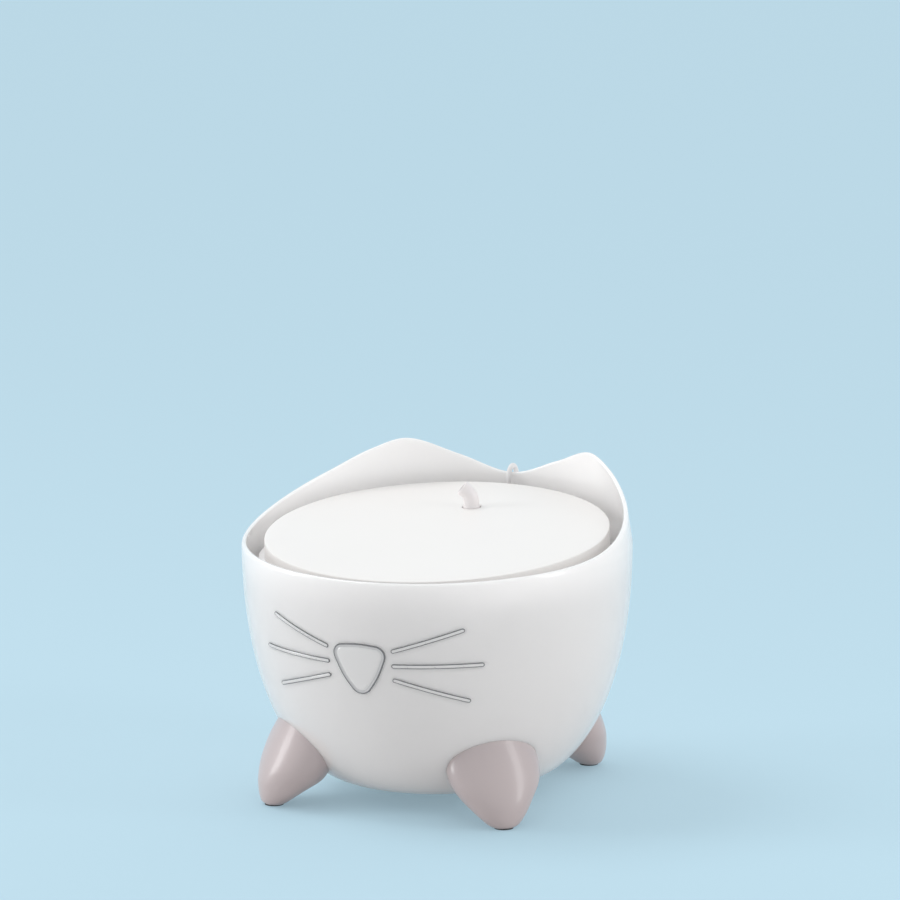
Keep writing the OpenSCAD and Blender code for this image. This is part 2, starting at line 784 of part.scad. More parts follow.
module filter_tray() {
    color("white")
        difference() {
            union() {
                translate([0, 0, tray_top - tray_h])
                    difference() {
                        cylinder(r = tray_r, h = tray_h, $fn = 120);
                        translate([0, 0, -eps])
                            cylinder(r = tray_r - tray_wall, h = tray_h - tray_wall, $fn = 120);
                    }
                basin_hull(tray_wall, tray_top - tray_wall);
                at_filter(tray_top - pocket_h)
                    linear_extrude(pocket_h - tray_wall - 1)
                        intersection() {
                            round_square(pocket_w, pocket_corner_r);
                            translate([0, filter_y])
                                circle(r = tray_r - tray_wall, $fn = 120);
                        }
                finger_well(finger_well_r + tray_wall, lobe_floor - tray_wall);
            }
            basin_hull(0, tray_top);
            finger_well(finger_well_r, lobe_floor);
            at_filter(ledge_z)
                linear_extrude(60)
                    intersection() {
                        round_square(pocket_w - 2 * pocket_wall, pocket_corner_r - pocket_wall);
                        translate([0, filter_y])
                            circle(r = tray_r - 2 * tray_wall, $fn = 120);
                    }
            at_filter(lobe_floor)
                linear_extrude(60)
                    lobes(lobe_r + 1.2);
            at_filter(tray_top - pocket_h - eps)
                linear_extrude(lobe_floor - tray_wall - tray_top + pocket_h)
                    intersection() {
                        round_square(pocket_w - 2 * tray_wall, pocket_corner_r - tray_wall);
                        translate([0, filter_y])
                            circle(r = tray_r - 2 * tray_wall, $fn = 120);
                    }
            for (sx = [-1, 1], sy = [-1, 1])
                translate([sx * lobe_at, -filter_y + sy * lobe_at, 0])
                    cylinder(d = drain_d, h = 300);
            for (side = [-1, 1])
                rotate([0, 0, side * finger_at])
                    translate([0, -finger_r, tray_top - tray_h])
                        cylinder(d = finger_d, h = 20);
            at_jet()
                cylinder(d = stem_d + 2 * slip, h = 300);
            translate([-notch_w / 2, tray_r - notch_in, 0])
                cube([notch_w, 40, 300]);
        }
}

// ---- cup with pull ring ----
stem_low = tube_top - 4;
cup_top = tray_top + cup_h;
cup_base_d = 34;
socket_top = tube_top + slip;
collar_sink = 5;      // depth of the collar in the cup
collar_low = cup_top - collar_sink;
ring_dir = 24;        // direction of the pull ring's hinge about the vertical
ring_back = 14;       // distance of the hinge line behind the cup's middle
ring_out = 25;        // distance of the ring's middle along the hinge line
hinge_z = tray_top + ring_rod_d / 2 + 0.6;
pin_d = 2.4;
barrel_l = 8;
barrel_d = 4.4;
module at_hinge() {
    at_jet()
        rotate([0, 0, ring_dir])
            translate([0, ring_back, hinge_z])
                rotate([0, 90, 0])
                    children();
}
module spout_cup() {
    color("white") {
        at_jet()
            difference() {
                union() {
                    translate([0, 0, stem_low])
                        cylinder(d = stem_d, h = cup_top - 2 - stem_low);
                    translate([0, 0, tray_top + seat_gap])
                        cylinder(d = cup_base_d, h = cup_h - 4);
                    translate([0, 0, cup_top])
                        rotate_extrude($fn = 96)
                            polygon([[0, -5.2], [cup_base_d / 2, -5.2], [cup_d / 2, -4.6],
                                [cup_d / 2, -3.4], [cup_d / 2 - 1.4, -2], [8, 0], [0, 0]]);
                }
                translate([0, 0, stem_low - eps])
                    rotate([0, 0, tube_turn + 30])
                        cylinder(d = tube_d + 2 * slip, h = socket_top - stem_low, $fn = 6);
                cylinder(d = tube_bore_d, h = 300);
                translate([0, 0, collar_low - slip / 2])
                    cylinder(d = collar_d - 0.3, h = 20);
            }
        at_hinge()
            translate([0, 0, 8])
                cylinder(d = pin_d, h = ring_out + barrel_l / 2 - 1.4 - 8);
    }
}
module pull_ring() {
    color("white") {
        at_hinge()
            translate([0, 0, ring_out - barrel_l / 2])
                difference() {
                    cylinder(d = barrel_d, h = barrel_l);
                    translate([0, 0, -eps])
                        cylinder(d = pin_d + 2 * fit, h = barrel_l - 1);
                }
        at_jet()
            rotate([0, 0, ring_dir])
                translate([ring_out, ring_back + ring_r, hinge_z])
                    difference() {
                        rotate_extrude($fn = 64)
                            translate([ring_r, 0])
                                circle(d = ring_rod_d, $fn = 24);
                        translate([-ring_r - 2, -ring_r, 0])
                            rotate([0, 90, 0])
                                cylinder(d = pin_d + 2 * fit, h = ring_r + 1 + barrel_l / 2);
                    }
    }
}

// ---- filter ----
sheet_t = 1;
pouch_t = 0.6;
sheet_z = ledge_z + seat_gap;
module filter_sheet() {
    color("whitesmoke")
        at_filter(sheet_z)
            linear_extrude(sheet_t)
                difference() {
                    round_square(filter_w, pocket_corner_r - pocket_wall - slip);
                    circle(d = filter_hole_d);
                }
}
module filter_pouch() {
    color("white")
        at_filter(sheet_z - lobe_h)
            difference() {
                linear_extrude(lobe_h)
                    lobes(lobe_r);
                translate([0, 0, pouch_t])
                    linear_extrude(lobe_h)
                        difference() {
                            lobes(lobe_r - pouch_t);
                            circle(d = filter_hole_d + 2 * pouch_t);
                            square([2 * pouch_t, filter_w], center = true);
                        }
                translate([0, 0, -eps])
                    cylinder(d = filter_hole_d, h = 20);
            }
}
module granules(side) {
    at_filter(sheet_z - lobe_h + pouch_t + fit)
        linear_extrude(lobe_h - pouch_t - 2 * fit)
            intersection() {
                difference() {
                    lobes(lobe_r - pouch_t - fit);
                    circle(d = filter_hole_d + 2 * pouch_t + 2 * fit);
                }
                translate([side > 0 ? pouch_t + fit : -filter_w, -filter_w / 2])
                    square([filter_w - pouch_t - fit, filter_w]);
            }
}
module filter_carbon() {
    color("gray")
        granules(-1);
}
module filter_resin() {
    color("peachpuff")
        granules(1);
}

// ---- lid ----
lid_r = tray_r - lid_in;
lid_low = tray_top + seat_gap;
lid_tilt = atan2(lid_rear_h - lid_front_h, 2 * lid_r);
lid_mid_h = (lid_front_h + lid_rear_h) / 2;
lid_edge = 3;         // edge left over the front notch
notch_half_at = 26.7;
module below_slope(drop) {
    translate([0, 0, lid_low + lid_mid_h - drop])
        rotate([lid_tilt, 0, 0])
            translate([-150, -150, -80])
                cube([300, 300, 80]);
}
module lid() {
    color("white")
        difference() {
            intersection() {
                translate([0, 0, lid_low])
                    cylinder(r = lid_r, h = 60, $fn = 120);
                below_slope(0);
            }
            intersection() {
                translate([0, 0, lid_low - eps])
                    cylinder(r = lid_r - lid_wall, h = 60, $fn = 120);
                below_slope(lid_wall);
            }
            translate([0, 0, lid_low - eps])
                linear_extrude(lid_front_h - lid_edge)
                    polygon([[0, 0], [-lid_r * tan(notch_half_at), -lid_r],
                        [-lid_r, -2 * lid_r], [lid_r, -2 * lid_r],
                        [lid_r * tan(notch_half_at), -lid_r]]);
            at_jet()
                cylinder(d = lid_hole_d, h = 300);
        }
}

// ---- spout ----
collar_low_d = 8.7;
pipe_d = 9;
pipe_bore_d = 5.6;
pipe_rise = 1.6;
pipe_bend_r = 9.5;
pipe_end = 2.5;
spout_turn = -66;     // direction of the mouth about the vertical, from the face
bend_steps = 8;
pipe_sides = 28;
// Middle line of the pipe, lengthened at both ends
function pipe_line(extra) = concat([[0, 0, -extra]],
    [for (i = [0 : bend_steps]) let (a = spout_bend * i / bend_steps)
        [0, -pipe_bend_r * (1 - cos(a)), pipe_rise + pipe_bend_r * sin(a)]],
    [[0, -pipe_bend_r * (1 - cos(spout_bend)) - (pipe_end + extra) * sin(spout_bend),
        pipe_rise + pipe_bend_r * sin(spout_bend) + (pipe_end + extra) * cos(spout_bend)]]);
module pipe(d, extra) {
    loft(tube_rings(pipe_line(extra), d / 2, pipe_sides));
}
module spout() {
    color("white")
        at_jet()
            rotate([0, 0, spout_turn])
                translate([0, 0, collar_low])
                    difference() {
                        union() {
                            cylinder(d1 = collar_low_d, d2 = collar_d, h = collar_h);
                            translate([0, 0, collar_h])
                                pipe(pipe_d, 0);
                        }
                        translate([0, 0, collar_h])
                            pipe(pipe_bore_d, 1);
                        translate([0, 0, -eps])
                            cylinder(d = pipe_bore_d - 0.2, h = collar_h);
                    }
}

// ---- cord ----
function gland_point(x) = [
    pump_xy[0] + x * cos(pump_turn) - gland_at[0] * sin(pump_turn),
    pump_xy[1] + x * sin(pump_turn) + gland_at[0] * cos(pump_turn),
    pump_z + gland_at[1]];
coil_middle = [-47, 144];
coil_pitch = cord_d + 0.55;
coil_rings = 24;
coil_z = cord_d / 2;
layer_loops = coil_loops / 2;
coil_from = 90;
function coil_r(t) = coil_mid_r + coil_pitch * (abs(t - layer_loops) - layer_loops / 2);
function coil_climb(t) = min(1, max(0, t - layer_loops + 0.25) * 2);
coil_points = [for (i = [0 : coil_loops * coil_rings]) let (t = i / coil_rings, a = coil_from + 360 * t)
    [coil_middle[0] + coil_r(t) * cos(a), coil_middle[1] + coil_r(t) * sin(a),
        coil_z + coil_pitch * coil_climb(t)]];
// Where the cord lies, from the pump to the coil
cord_gap = 0.05;      // gap at the end of a run of cord
boss_cord_y = boss_y - 4;       // middle of the cord in front of the rear boss
gap_cord_y = bowl_r - 8.6;      // middle of the cord between the tray and the rear wall
wall_cord_y = bowl_r + 3.5;     // middle of the cord behind the rear wall
pump_loop = [   // points of the slack beside the pump, from the pump's middle
    [-36.86, -19.56, 41.8], [-42.86, -20.56, 41], [-47.86, -17.56, 39.3], [-49.86, -10.56, 36.5],
    [-48.36, -1.86, 33], [-43.36, 6.14, 29.5], [-35.86, 13.64, 27], [-25.36, 21.14, 26],
    [-14.86, 28.14, 27], [-5.86, 34.14, 30.5], [1.14, 40.14, 36], [5.64, 45.14, 44]];
route = concat([gland_point(gland_end + 6 * cord_gap), gland_point(gland_end + 4)],
    [for (p = pump_loop) p + [pump_xy[0], pump_xy[1], 0]],
    [for (z = [54, 70, 88, 102]) [0, boss_cord_y - (z < 60 ? 2 : 0), z]],
    [[0, boss_cord_y + 2, 111], [0, boss_cord_y + 6, 119], [0, gap_cord_y - 2.4, 127]],
    [for (z = [136, 150, 161]) [0, gap_cord_y, z]],
    [[0, gap_cord_y + 1.6, 167.2], [0, (gap_cord_y + wall_cord_y) / 2, 169.5],
    [0, wall_cord_y - 1.7, 167.2]],
    [for (z = [161, 140, 110, 80, 50, 28]) [0, wall_cord_y, z]],
    [[-0.5, wall_cord_y + 1, 14], [-2, wall_cord_y + 4.5, 5], [-5, 129, 2], [-9, 138, coil_z],
    [-13, 148, coil_z], [-18, 158, coil_z], [-25, 165.5, coil_z], [-34, 169.6, coil_z],
    coil_points[0] + [5 * cord_gap, 0, 0]]);
function curve(p, q, r, s, t) = 0.5 * (2 * q + (r - p) * t + (2 * p - 5 * q + 4 * r - s) * t ^ 2
    + (3 * q - p - 3 * r + s) * t ^ 3);
function through(p) = concat([for (i = [0 : len(p) - 2]) for (t = [0, 0.5])
    curve(p[max(0, i - 1)], p[i], p[i + 1], p[min(len(p) - 1, i + 2)], t)], [p[len(p) - 1]]);
module cord_run() {
    color("white")
        loft(tube_rings(through(route), cord_d / 2, 8));
}
module cord_coil() {
    color("white")
        loft(tube_rings(coil_points, cord_d / 2, 6));
}
plug_at = [-70, 170.5, 3.9];
// Least gap of the coil to itself, on its points
coil_gap = min([for (i = [0 : len(coil_points) - 1])
    for (j = [i + coil_rings / 2 : len(coil_points) - 1])
        norm(coil_points[i] - coil_points[j])]) - cord_d;
echo(coil_gap = coil_gap);
tail_route = [coil_points[len(coil_points) - 1] - [5 * cord_gap, 0, 0],
    [-53, 170.1, 5], [-59, 170.4, 4.5], [-65, 170.5, 4.05], plug_at + [cord_gap, 0, 0]];
module cord_tail() {
    color("white")
        loft(tube_rings(through(tail_route), cord_d / 2, 8));
}
// The clip is open below, so the coil lies flat on the table inside it.
tie_w = 5;
tie_t = 1;
tie_gap = 0.6;        // gap of the clip around the coil
module coil_tie() {
    bundle = coil_pitch * (layer_loops - 0.5) + cord_d + 2 * tie_gap;
    inside_top = coil_pitch + cord_d + tie_gap;
    color("white")
        translate([coil_middle[0] + coil_mid_r, coil_middle[1] - tie_w / 2, 0])
            difference() {
                translate([-bundle / 2 - tie_t, 0, 0])
                    cube([bundle + 2 * tie_t, tie_w, inside_top + tie_t]);
                translate([-bundle / 2, -1, -eps])
                    cube([bundle, tie_w + 2, inside_top]);
            }
}
plug_size = [15.5, 24, 7.6];
shell_size = [12, 18, 4.5];
shell_wall = 0.4;
module at_plug() {
    translate(plug_at)
        rotate([0, 0, 90])
            children();
}
module plug_body() {
    color("white")
        at_plug()
            translate([0, 0, -plug_at[2]])
                linear_extrude(plug_size[2])
                    translate([0, plug_size[1] / 2])
                        square([plug_size[0], plug_size[1]], center = true);
}
module plug_shell() {
    color("silver")
        at_plug()
            translate([-shell_size[0] / 2, plug_size[1] + fit, -shell_size[2] / 2])
                difference() {
                    cube(shell_size);
                    translate([shell_wall, 1, shell_size[2] / 2])
                        cube([shell_size[0] - 2 * shell_wall, shell_size[1],
                            shell_size[2] / 2 - shell_wall]);
                }
}

bowl_shell();
nose_window();
whisker_windows();
foot(foot_angles[0]);  // foot_front_left
foot(foot_angles[1]);  // foot_front_right
foot(foot_angles[2]);  // foot_rear_left
foot(foot_angles[3]);  // foot_rear_right
foot_pads();
foot_screws();
pump_housing();
pump_end_panel();
inlet_cover();
impeller();
rotor_magnet();
impeller_shaft();
shaft_bushes();
stator_core();
stator_coils();
flow_knob();
led_lens();
sensor_lens();
suction_cups();
cord_gland();
riser_tube();
filter_tray();
spout_cup();
pull_ring();
filter_sheet();
filter_pouch();
filter_carbon();
filter_resin();
lid();
spout();
cord_run();
cord_coil();
cord_tail();
coil_tie();
plug_body();
plug_shell();
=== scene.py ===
import bmesh
import bpy
import numpy as np
from math import asin, atan2, cos, degrees, dist, exp, hypot, pi, radians, sin, sqrt
from mathutils import Matrix, Quaternion, Vector
from mathutils.geometry import delaunay_2d_cdt


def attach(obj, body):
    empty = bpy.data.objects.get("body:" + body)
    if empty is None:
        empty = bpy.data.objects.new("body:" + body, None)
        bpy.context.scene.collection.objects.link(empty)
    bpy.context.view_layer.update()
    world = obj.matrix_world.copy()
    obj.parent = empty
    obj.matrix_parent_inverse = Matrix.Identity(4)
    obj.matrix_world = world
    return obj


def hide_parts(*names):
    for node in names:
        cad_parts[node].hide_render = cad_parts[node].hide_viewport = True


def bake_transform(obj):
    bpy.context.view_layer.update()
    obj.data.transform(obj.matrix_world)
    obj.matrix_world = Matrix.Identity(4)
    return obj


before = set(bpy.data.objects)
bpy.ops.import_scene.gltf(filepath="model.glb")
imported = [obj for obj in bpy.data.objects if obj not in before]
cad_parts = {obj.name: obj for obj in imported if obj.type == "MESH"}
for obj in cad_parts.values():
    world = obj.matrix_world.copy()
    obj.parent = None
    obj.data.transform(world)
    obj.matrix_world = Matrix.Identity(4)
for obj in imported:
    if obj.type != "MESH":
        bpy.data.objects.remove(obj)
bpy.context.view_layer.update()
mm = 0.001  # lengths below are in millimetres, as in the part's source
print("frame loaded")

# camera, floor and light
camera = {
    "eye": (1583.0, -3555.4, 1003.6),
    "target": (-3.1, 26.5, 194.7),
    "roll": -0.475,  # degrees
    "lens": 275.83,
    "sensor": 36.0,
}
studio = {
    "floorHalf": 30,  # metres
    "floorTone": (188, 217, 231),
    "floorShade": 0.6,  # share of the floor that takes real light and shadow
    "bounceTone": (228, 225, 224),  # what the floor throws back on to the object
    "skyFront": 0.62,
    "skyBack": 1.02,
    "sunLevel": 0.62,
    "sunFrom": (-1.0, 0.05, 1.5),
    "sunSpread": 28,  # degrees
    "strips": {  # place, target and size in metres, then watts
        "stripRight": ((1.35, 0.05, 0.45), (0, 0, 0.15), (0.35, 1.1), 4.2),
        "stripLeft": ((-1.5, -0.6, 0.4), (0, 0, 0.1), (0.5, 1.1), 9.0),
    },
}


def tone(red, green, blue):
    return tuple(((c / 255 + 0.055) / 1.055) ** 2.4 for c in (red, green, blue)) + (1,)


def addPiece(name, data, place=(0, 0, 0), aim=None):
    piece = bpy.data.objects.new(name, data)
    bpy.context.scene.collection.objects.link(piece)
    piece.location = place
    if aim is not None:
        piece.rotation_mode = "QUATERNION"
        piece.rotation_quaternion = aim.to_track_quat("-Z", "Y")
    return piece


def buildCamera():
    lens = bpy.data.cameras.new("camera")
    lens.lens = camera["lens"]
    lens.sensor_width = camera["sensor"]
    lens.clip_start = 0.1
    lens.clip_end = 100
    eye = Vector(camera["eye"])
    piece = addPiece("camera", lens, eye * mm, Vector(camera["target"]) - eye)
    turn = Quaternion((0, 0, 1), radians(camera["roll"]))
    piece.rotation_quaternion = piece.rotation_quaternion @ turn
    bpy.context.scene.camera = piece


def areaLamp(name, place, target, size, level):
    lamp = bpy.data.lights.new(name, "AREA")
    lamp.shape = "RECTANGLE"
    lamp.size, lamp.size_y = size
    lamp.energy = level
    addPiece(name, lamp, place, Vector(target) - Vector(place))


class Graph:  # the nodes of one material or of the world
    def __init__(self, holder=None):
        holder = holder or bpy.data.materials.new("look")
        holder.use_nodes = True
        self.holder = holder
        self.nodes, self.links = holder.node_tree.nodes, holder.node_tree.links

    def feed(self, node, values):
        for name, value in values.items():
            if isinstance(value, bpy.types.NodeSocket):
                self.links.new(value, node.inputs[name])
            else:
                node.inputs[name].default_value = value

    def add(self, kind, values, out=0, **fields):
        node = self.nodes.new("ShaderNode" + kind)
        for name, value in fields.items():
            setattr(node, name, value)
        self.feed(node, values)
        return node.outputs[out]

    def spread(self, value, low, high, start=0, stop=1):
        ends = {"From Min": start, "From Max": stop, "To Min": low, "To Max": high}
        return self.add("MapRange", {"Value": value, **ends})

    def noise(self, scale, detail=2, stretch=(1, 1, 1)):
        place = self.add("TexCoord", {}, "Object")
        place = self.add("Mapping", {"Scale": stretch, "Vector": place})
        return self.add("TexNoise", {"Vector": place, "Scale": scale, "Detail": detail})

    def blend(self, factor, low, high):
        return self.add("Mix", {0: factor, 6: low, 7: high}, 2, data_type="RGBA")

    def finish(self, values, height, strength, distance):
        bump = self.add("Bump", {"Height": height, "Strength": strength, "Distance": distance})
        self.feed(self.nodes["Principled BSDF"], {"Normal": bump, **values})
        return self.holder

    def whenSeen(self, hidden, seen):  # seen holds for camera rays, also by way of gloss or a clear piece
        rays = self.nodes.new("ShaderNodeLightPath").outputs
        direct = rays["Is Camera Ray"]
        for name in ("Is Glossy Ray", "Is Transmission Ray"):
            direct = self.add("Math", {0: direct, 1: rays[name]}, operation="MAXIMUM")
        return self.add("MixShader", {0: direct, 1: hidden, 2: seen})


def buildWorld(blue):
    world = bpy.data.worlds.new("studio")
    bpy.context.scene.world = world
    graph = Graph(world)
    place = graph.add("TexCoord", {}, "Generated")
    depth = graph.add("SeparateXYZ", {0: place}, "Y")
    level = graph.spread(depth, studio["skyFront"], studio["skyBack"], -1, 1)
    plain = graph.nodes["Background"]
    graph.feed(plain, {"Color": (1, 1, 1, 1), "Strength": level})
    sky = graph.whenSeen(plain.outputs[0], graph.add("Background", {"Color": blue}))
    graph.feed(graph.nodes["World Output"], {"Surface": sky})


def buildFloor(blue):
    mesh = bpy.data.meshes.new("floor")
    side = studio["floorHalf"]
    corners = [(x * side, y * side, 0) for x, y in ((-1, -1), (1, -1), (1, 1), (-1, 1))]
    mesh.from_pydata(corners, [], [(0, 1, 2, 3)])
    graph = Graph(bpy.data.materials.new("floorPaper"))
    shaded = graph.add("BsdfDiffuse", {"Color": blue})
    flat = graph.add("Emission", {"Color": blue})
    bounce = graph.add("BsdfDiffuse", {"Color": tone(*studio["bounceTone"])})
    seen = graph.add("MixShader", {0: 1 - studio["floorShade"], 1: shaded, 2: flat})
    graph.nodes.remove(graph.nodes["Principled BSDF"])
    graph.feed(graph.nodes["Material Output"], {"Surface": graph.whenSeen(bounce, seen)})
    mesh.materials.append(graph.holder)
    addPiece("floor", mesh)


def buildStudio():
    bpy.context.scene.view_settings.view_transform = "Standard"
    blue = tone(*studio["floorTone"])
    buildWorld(blue)
    buildFloor(blue)
    sun = bpy.data.lights.new("sun", "SUN")
    sun.energy = studio["sunLevel"]
    sun.angle = radians(studio["sunSpread"])
    addPiece("sun", sun, aim=-Vector(studio["sunFrom"]))
    for name, values in studio["strips"].items():
        areaLamp(name, *values)


buildCamera()
buildStudio()
print("camera and studio ready")


# materials
def shade(colour, share):
    return tone(*[min(255, c * share) for c in colour])


def plastic(colour, rough, drift=0.025, grain=1400, bump=0.04, coat=0.0, sheen=0.0, depth=0.0):
    graph = Graph()
    flow, fine = graph.noise(22, 3), graph.noise(grain)
    values = {
        "Base Color": graph.blend(flow, shade(colour, 1 - drift), shade(colour, 1 + drift * 0.4)),
        "Roughness": graph.spread(fine, rough - 0.05, rough + 0.05),
        "Coat Weight": coat, "Coat Roughness": 0.08, "Sheen Weight": sheen,
    }
    if depth:  # a thin wall that lets some light through
        values.update({"Subsurface Weight": 0.85, "Subsurface Radius": (1, 1, 1), "Subsurface Scale": depth})
    return graph.finish(values, fine, bump, 0.0002)


def metal(colour, rough, grain=700):
    graph = Graph()
    lines = graph.noise(grain, 3, (1, 1, 12))
    values = {
        "Base Color": graph.blend(lines, shade(colour, 0.86), tone(*colour)),
        "Roughness": graph.spread(lines, rough - 0.06, rough + 0.08), "Metallic": 1,
    }
    return graph.finish(values, lines, 0.06, 0.0002)


def clearPlastic(colour, rough, clarity):
    graph = Graph()
    flow = graph.noise(60)
    graph.feed(graph.nodes["Principled BSDF"], {
        "Base Color": graph.blend(flow, shade(colour, 0.97), tone(*colour)),
        "Roughness": graph.spread(flow, rough, rough + 0.04),
        "Transmission Weight": clarity, "IOR": 1.47,
    })
    return graph.holder


def halves(graph, reach, factor, colours, shares):  # grey on the left, peach on the right
    place = graph.add("TexCoord", {}, "Object")
    side = graph.spread(graph.add("SeparateXYZ", {0: place}, "X"), 0, 1, -reach * mm, reach * mm)
    grey, peach = [graph.blend(factor, tone(*c), shade(c, share)) for c, share in zip(colours, shares)]
    return graph.blend(side, grey, peach)


def granules(colours, seam, scale, bump):
    graph = Graph()
    place = graph.add("TexCoord", {}, "Object")
    cells = graph.add("TexVoronoi", {"Vector": place, "Scale": scale}, "Distance")
    veil = graph.spread(graph.noise(420, 6), 0, 0.3, 0.42, 0.7)
    colour = graph.blend(veil, halves(graph, 0.4, cells, colours, (0.8, 0.9)), tone(*seam))
    return graph.finish({"Base Color": colour, "Roughness": 0.75, "Sheen Weight": 0.2}, cells, bump, 0.0008)


def sheetCloth(colours, border):
    graph = Graph()
    fibre = graph.noise(150, 8, (1, 4, 1))
    both = halves(graph, 1.5, graph.spread(fibre, 0, 1, 0.36, 0.64), colours, (1.13, 1.12))
    fill = graph.add("Attribute", {}, "Fac", attribute_name="fill")
    colour = graph.blend(fill, tone(*border), both)
    return graph.finish({"Base Color": colour, "Roughness": 0.6, "Sheen Weight": 0.25}, fibre, 0.35, 0.0004)


finishes = {
    "bowlWhite": plastic((250, 247, 246), 0.2, drift=0.006, bump=0.01, coat=0.5, depth=0.008),
    "windowGrey": plastic((205, 205, 206), 0.16, coat=0.6),
    "windowPale": plastic((226, 226, 226), 0.14, coat=0.6),
    "windowEdge": plastic((118, 119, 121), 0.25),
    "footTaupe": plastic((194, 182, 182), 0.32, grain=1800, bump=0.06, coat=0.25),
    "padRubber": plastic((70, 70, 72), 0.8, grain=900, bump=0.2),
    "screwSteel": metal((170, 170, 170), 0.35),
    "pumpGrey": plastic((232, 228, 230), 0.5, grain=1600, bump=0.1),
    "pumpWhite": plastic((242, 240, 240), 0.45, grain=1600, bump=0.08),
    "redLens": plastic((214, 52, 46), 0.12, coat=0.8),
    "clearLens": clearPlastic((235, 235, 236), 0.05, 0.6),
    "magnetGrey": plastic((58, 58, 60), 0.6, grain=700, bump=0.2),
    "coreSteel": metal((120, 122, 126), 0.45),
    "coilCopper": metal((196, 120, 78), 0.35),
    "cupRubber": clearPlastic((244, 244, 245), 0.3, 0.35),
    "tubeClear": clearPlastic((253, 255, 255), 0.03, 0.25),
    "trayWhite": plastic((246, 243, 243), 0.36, drift=0.008, grain=1700, bump=0.05),
    "lidWhite": plastic((243, 241, 239), 0.5, drift=0.006, grain=1900, bump=0.07),
    "spoutWhite": plastic((240, 235, 235), 0.32, drift=0.01),
    "cordWhite": plastic((238, 236, 236), 0.45, grain=1200, bump=0.06),
    "plugWhite": plastic((232, 231, 231), 0.4, grain=1500, bump=0.06),
    "plugSteel": metal((196, 196, 198), 0.22),
    "granules": granules(((200, 200, 197), (246, 224, 203)), (250, 246, 241), 800, 0.3),
    "sheetCloth": sheetCloth(((224, 226, 225), (251, 232, 218)), (250, 253, 253)),
}
for name, material in finishes.items():
    material.name = name
print("materials ready")


# shapes: a loop is a list of (x, y), a ring a list of (x, y, z)
def stand(x, y, z, turn):
    return Matrix.Translation((x, y, z)) @ Matrix.Rotation(radians(turn), 4, "Z")


def turnsOf(count):
    return [2 * pi * k / count for k in range(count)]


def offset(loop, inset):
    a = np.array(loop, float)
    t = np.roll(a, -1, 0) - np.roll(a, 1, 0)
    t /= np.maximum(np.linalg.norm(t, axis=1, keepdims=True), 1e-9)
    return [tuple(p) for p in a - inset * np.stack([t[:, 1], -t[:, 0]], 1)]


def lip(radius, steps=4):
    turns = [pi / 2 * k / steps for k in range(steps + 1)]
    return [(radius * (1 - sin(t)), radius * (1 - cos(t))) for t in turns]


def rows(loopsAndHeights):
    return [[(x, y, z) for x, y in loop] for loop, z in loopsAndHeights]


def wall(loop, top, low, topEdge, lowEdge, side=1):
    found = [(offset(loop, side * inset), top - drop) for inset, drop in lip(topEdge)]
    found += [(offset(loop, side * inset), low + drop) for inset, drop in reversed(lip(lowEdge))]
    return rows(found)


def circle(x, y, radius, count=96):
    return [(x + radius * cos(t), y + radius * sin(t)) for t in turnsOf(count)]


def roundedRectangle(width, height, radius, count=12, x=0, y=0):
    points = []
    across, along = width / 2 - radius, height / 2 - radius
    for cx, cy, start in ((1, 1, 0), (-1, 1, 90), (-1, -1, 180), (1, -1, 270)):
        for k in range(count + 1):
            a = radians(start + 90 * k / count)
            points.append((x + cx * across + radius * cos(a), y + cy * along + radius * sin(a)))
    return points


def densify(loop, step):
    found = []
    for p, q in zip(loop, loop[1:] + loop[:1]):
        steps = max(1, int(dist(p, q) / step))
        found += [(p[0] + (q[0] - p[0]) * k / steps, p[1] + (q[1] - p[1]) * k / steps) for k in range(steps)]
    return found


def flatFaces(loops):
    points = [p for loop in loops for p in loop]
    edges, start = [], 0
    for loop in loops:
        edges += [(start + i, start + (i + 1) % len(loop)) for i in range(len(loop))]
        start += len(loop)
    found, _, faces, _, _, _ = delaunay_2d_cdt([Vector(p) for p in points], edges, [], 0, 1e-7)
    a = np.array(points, float)
    p, q = a[[e[0] for e in edges]], a[[e[1] for e in edges]]
    rise = np.where(q[:, 1] == p[:, 1], 1e-9, q[:, 1] - p[:, 1])
    kept = []
    for face in faces:
        x, y = np.mean([found[i] for i in face], axis=0)
        crosses = (p[:, 1] > y) != (q[:, 1] > y)
        reach = p[:, 0] + (y - p[:, 1]) * (q[:, 0] - p[:, 0]) / rise
        if np.count_nonzero(crosses & (x < reach)) % 2:
            kept.append(list(face))
    return [tuple(v) for v in found], kept


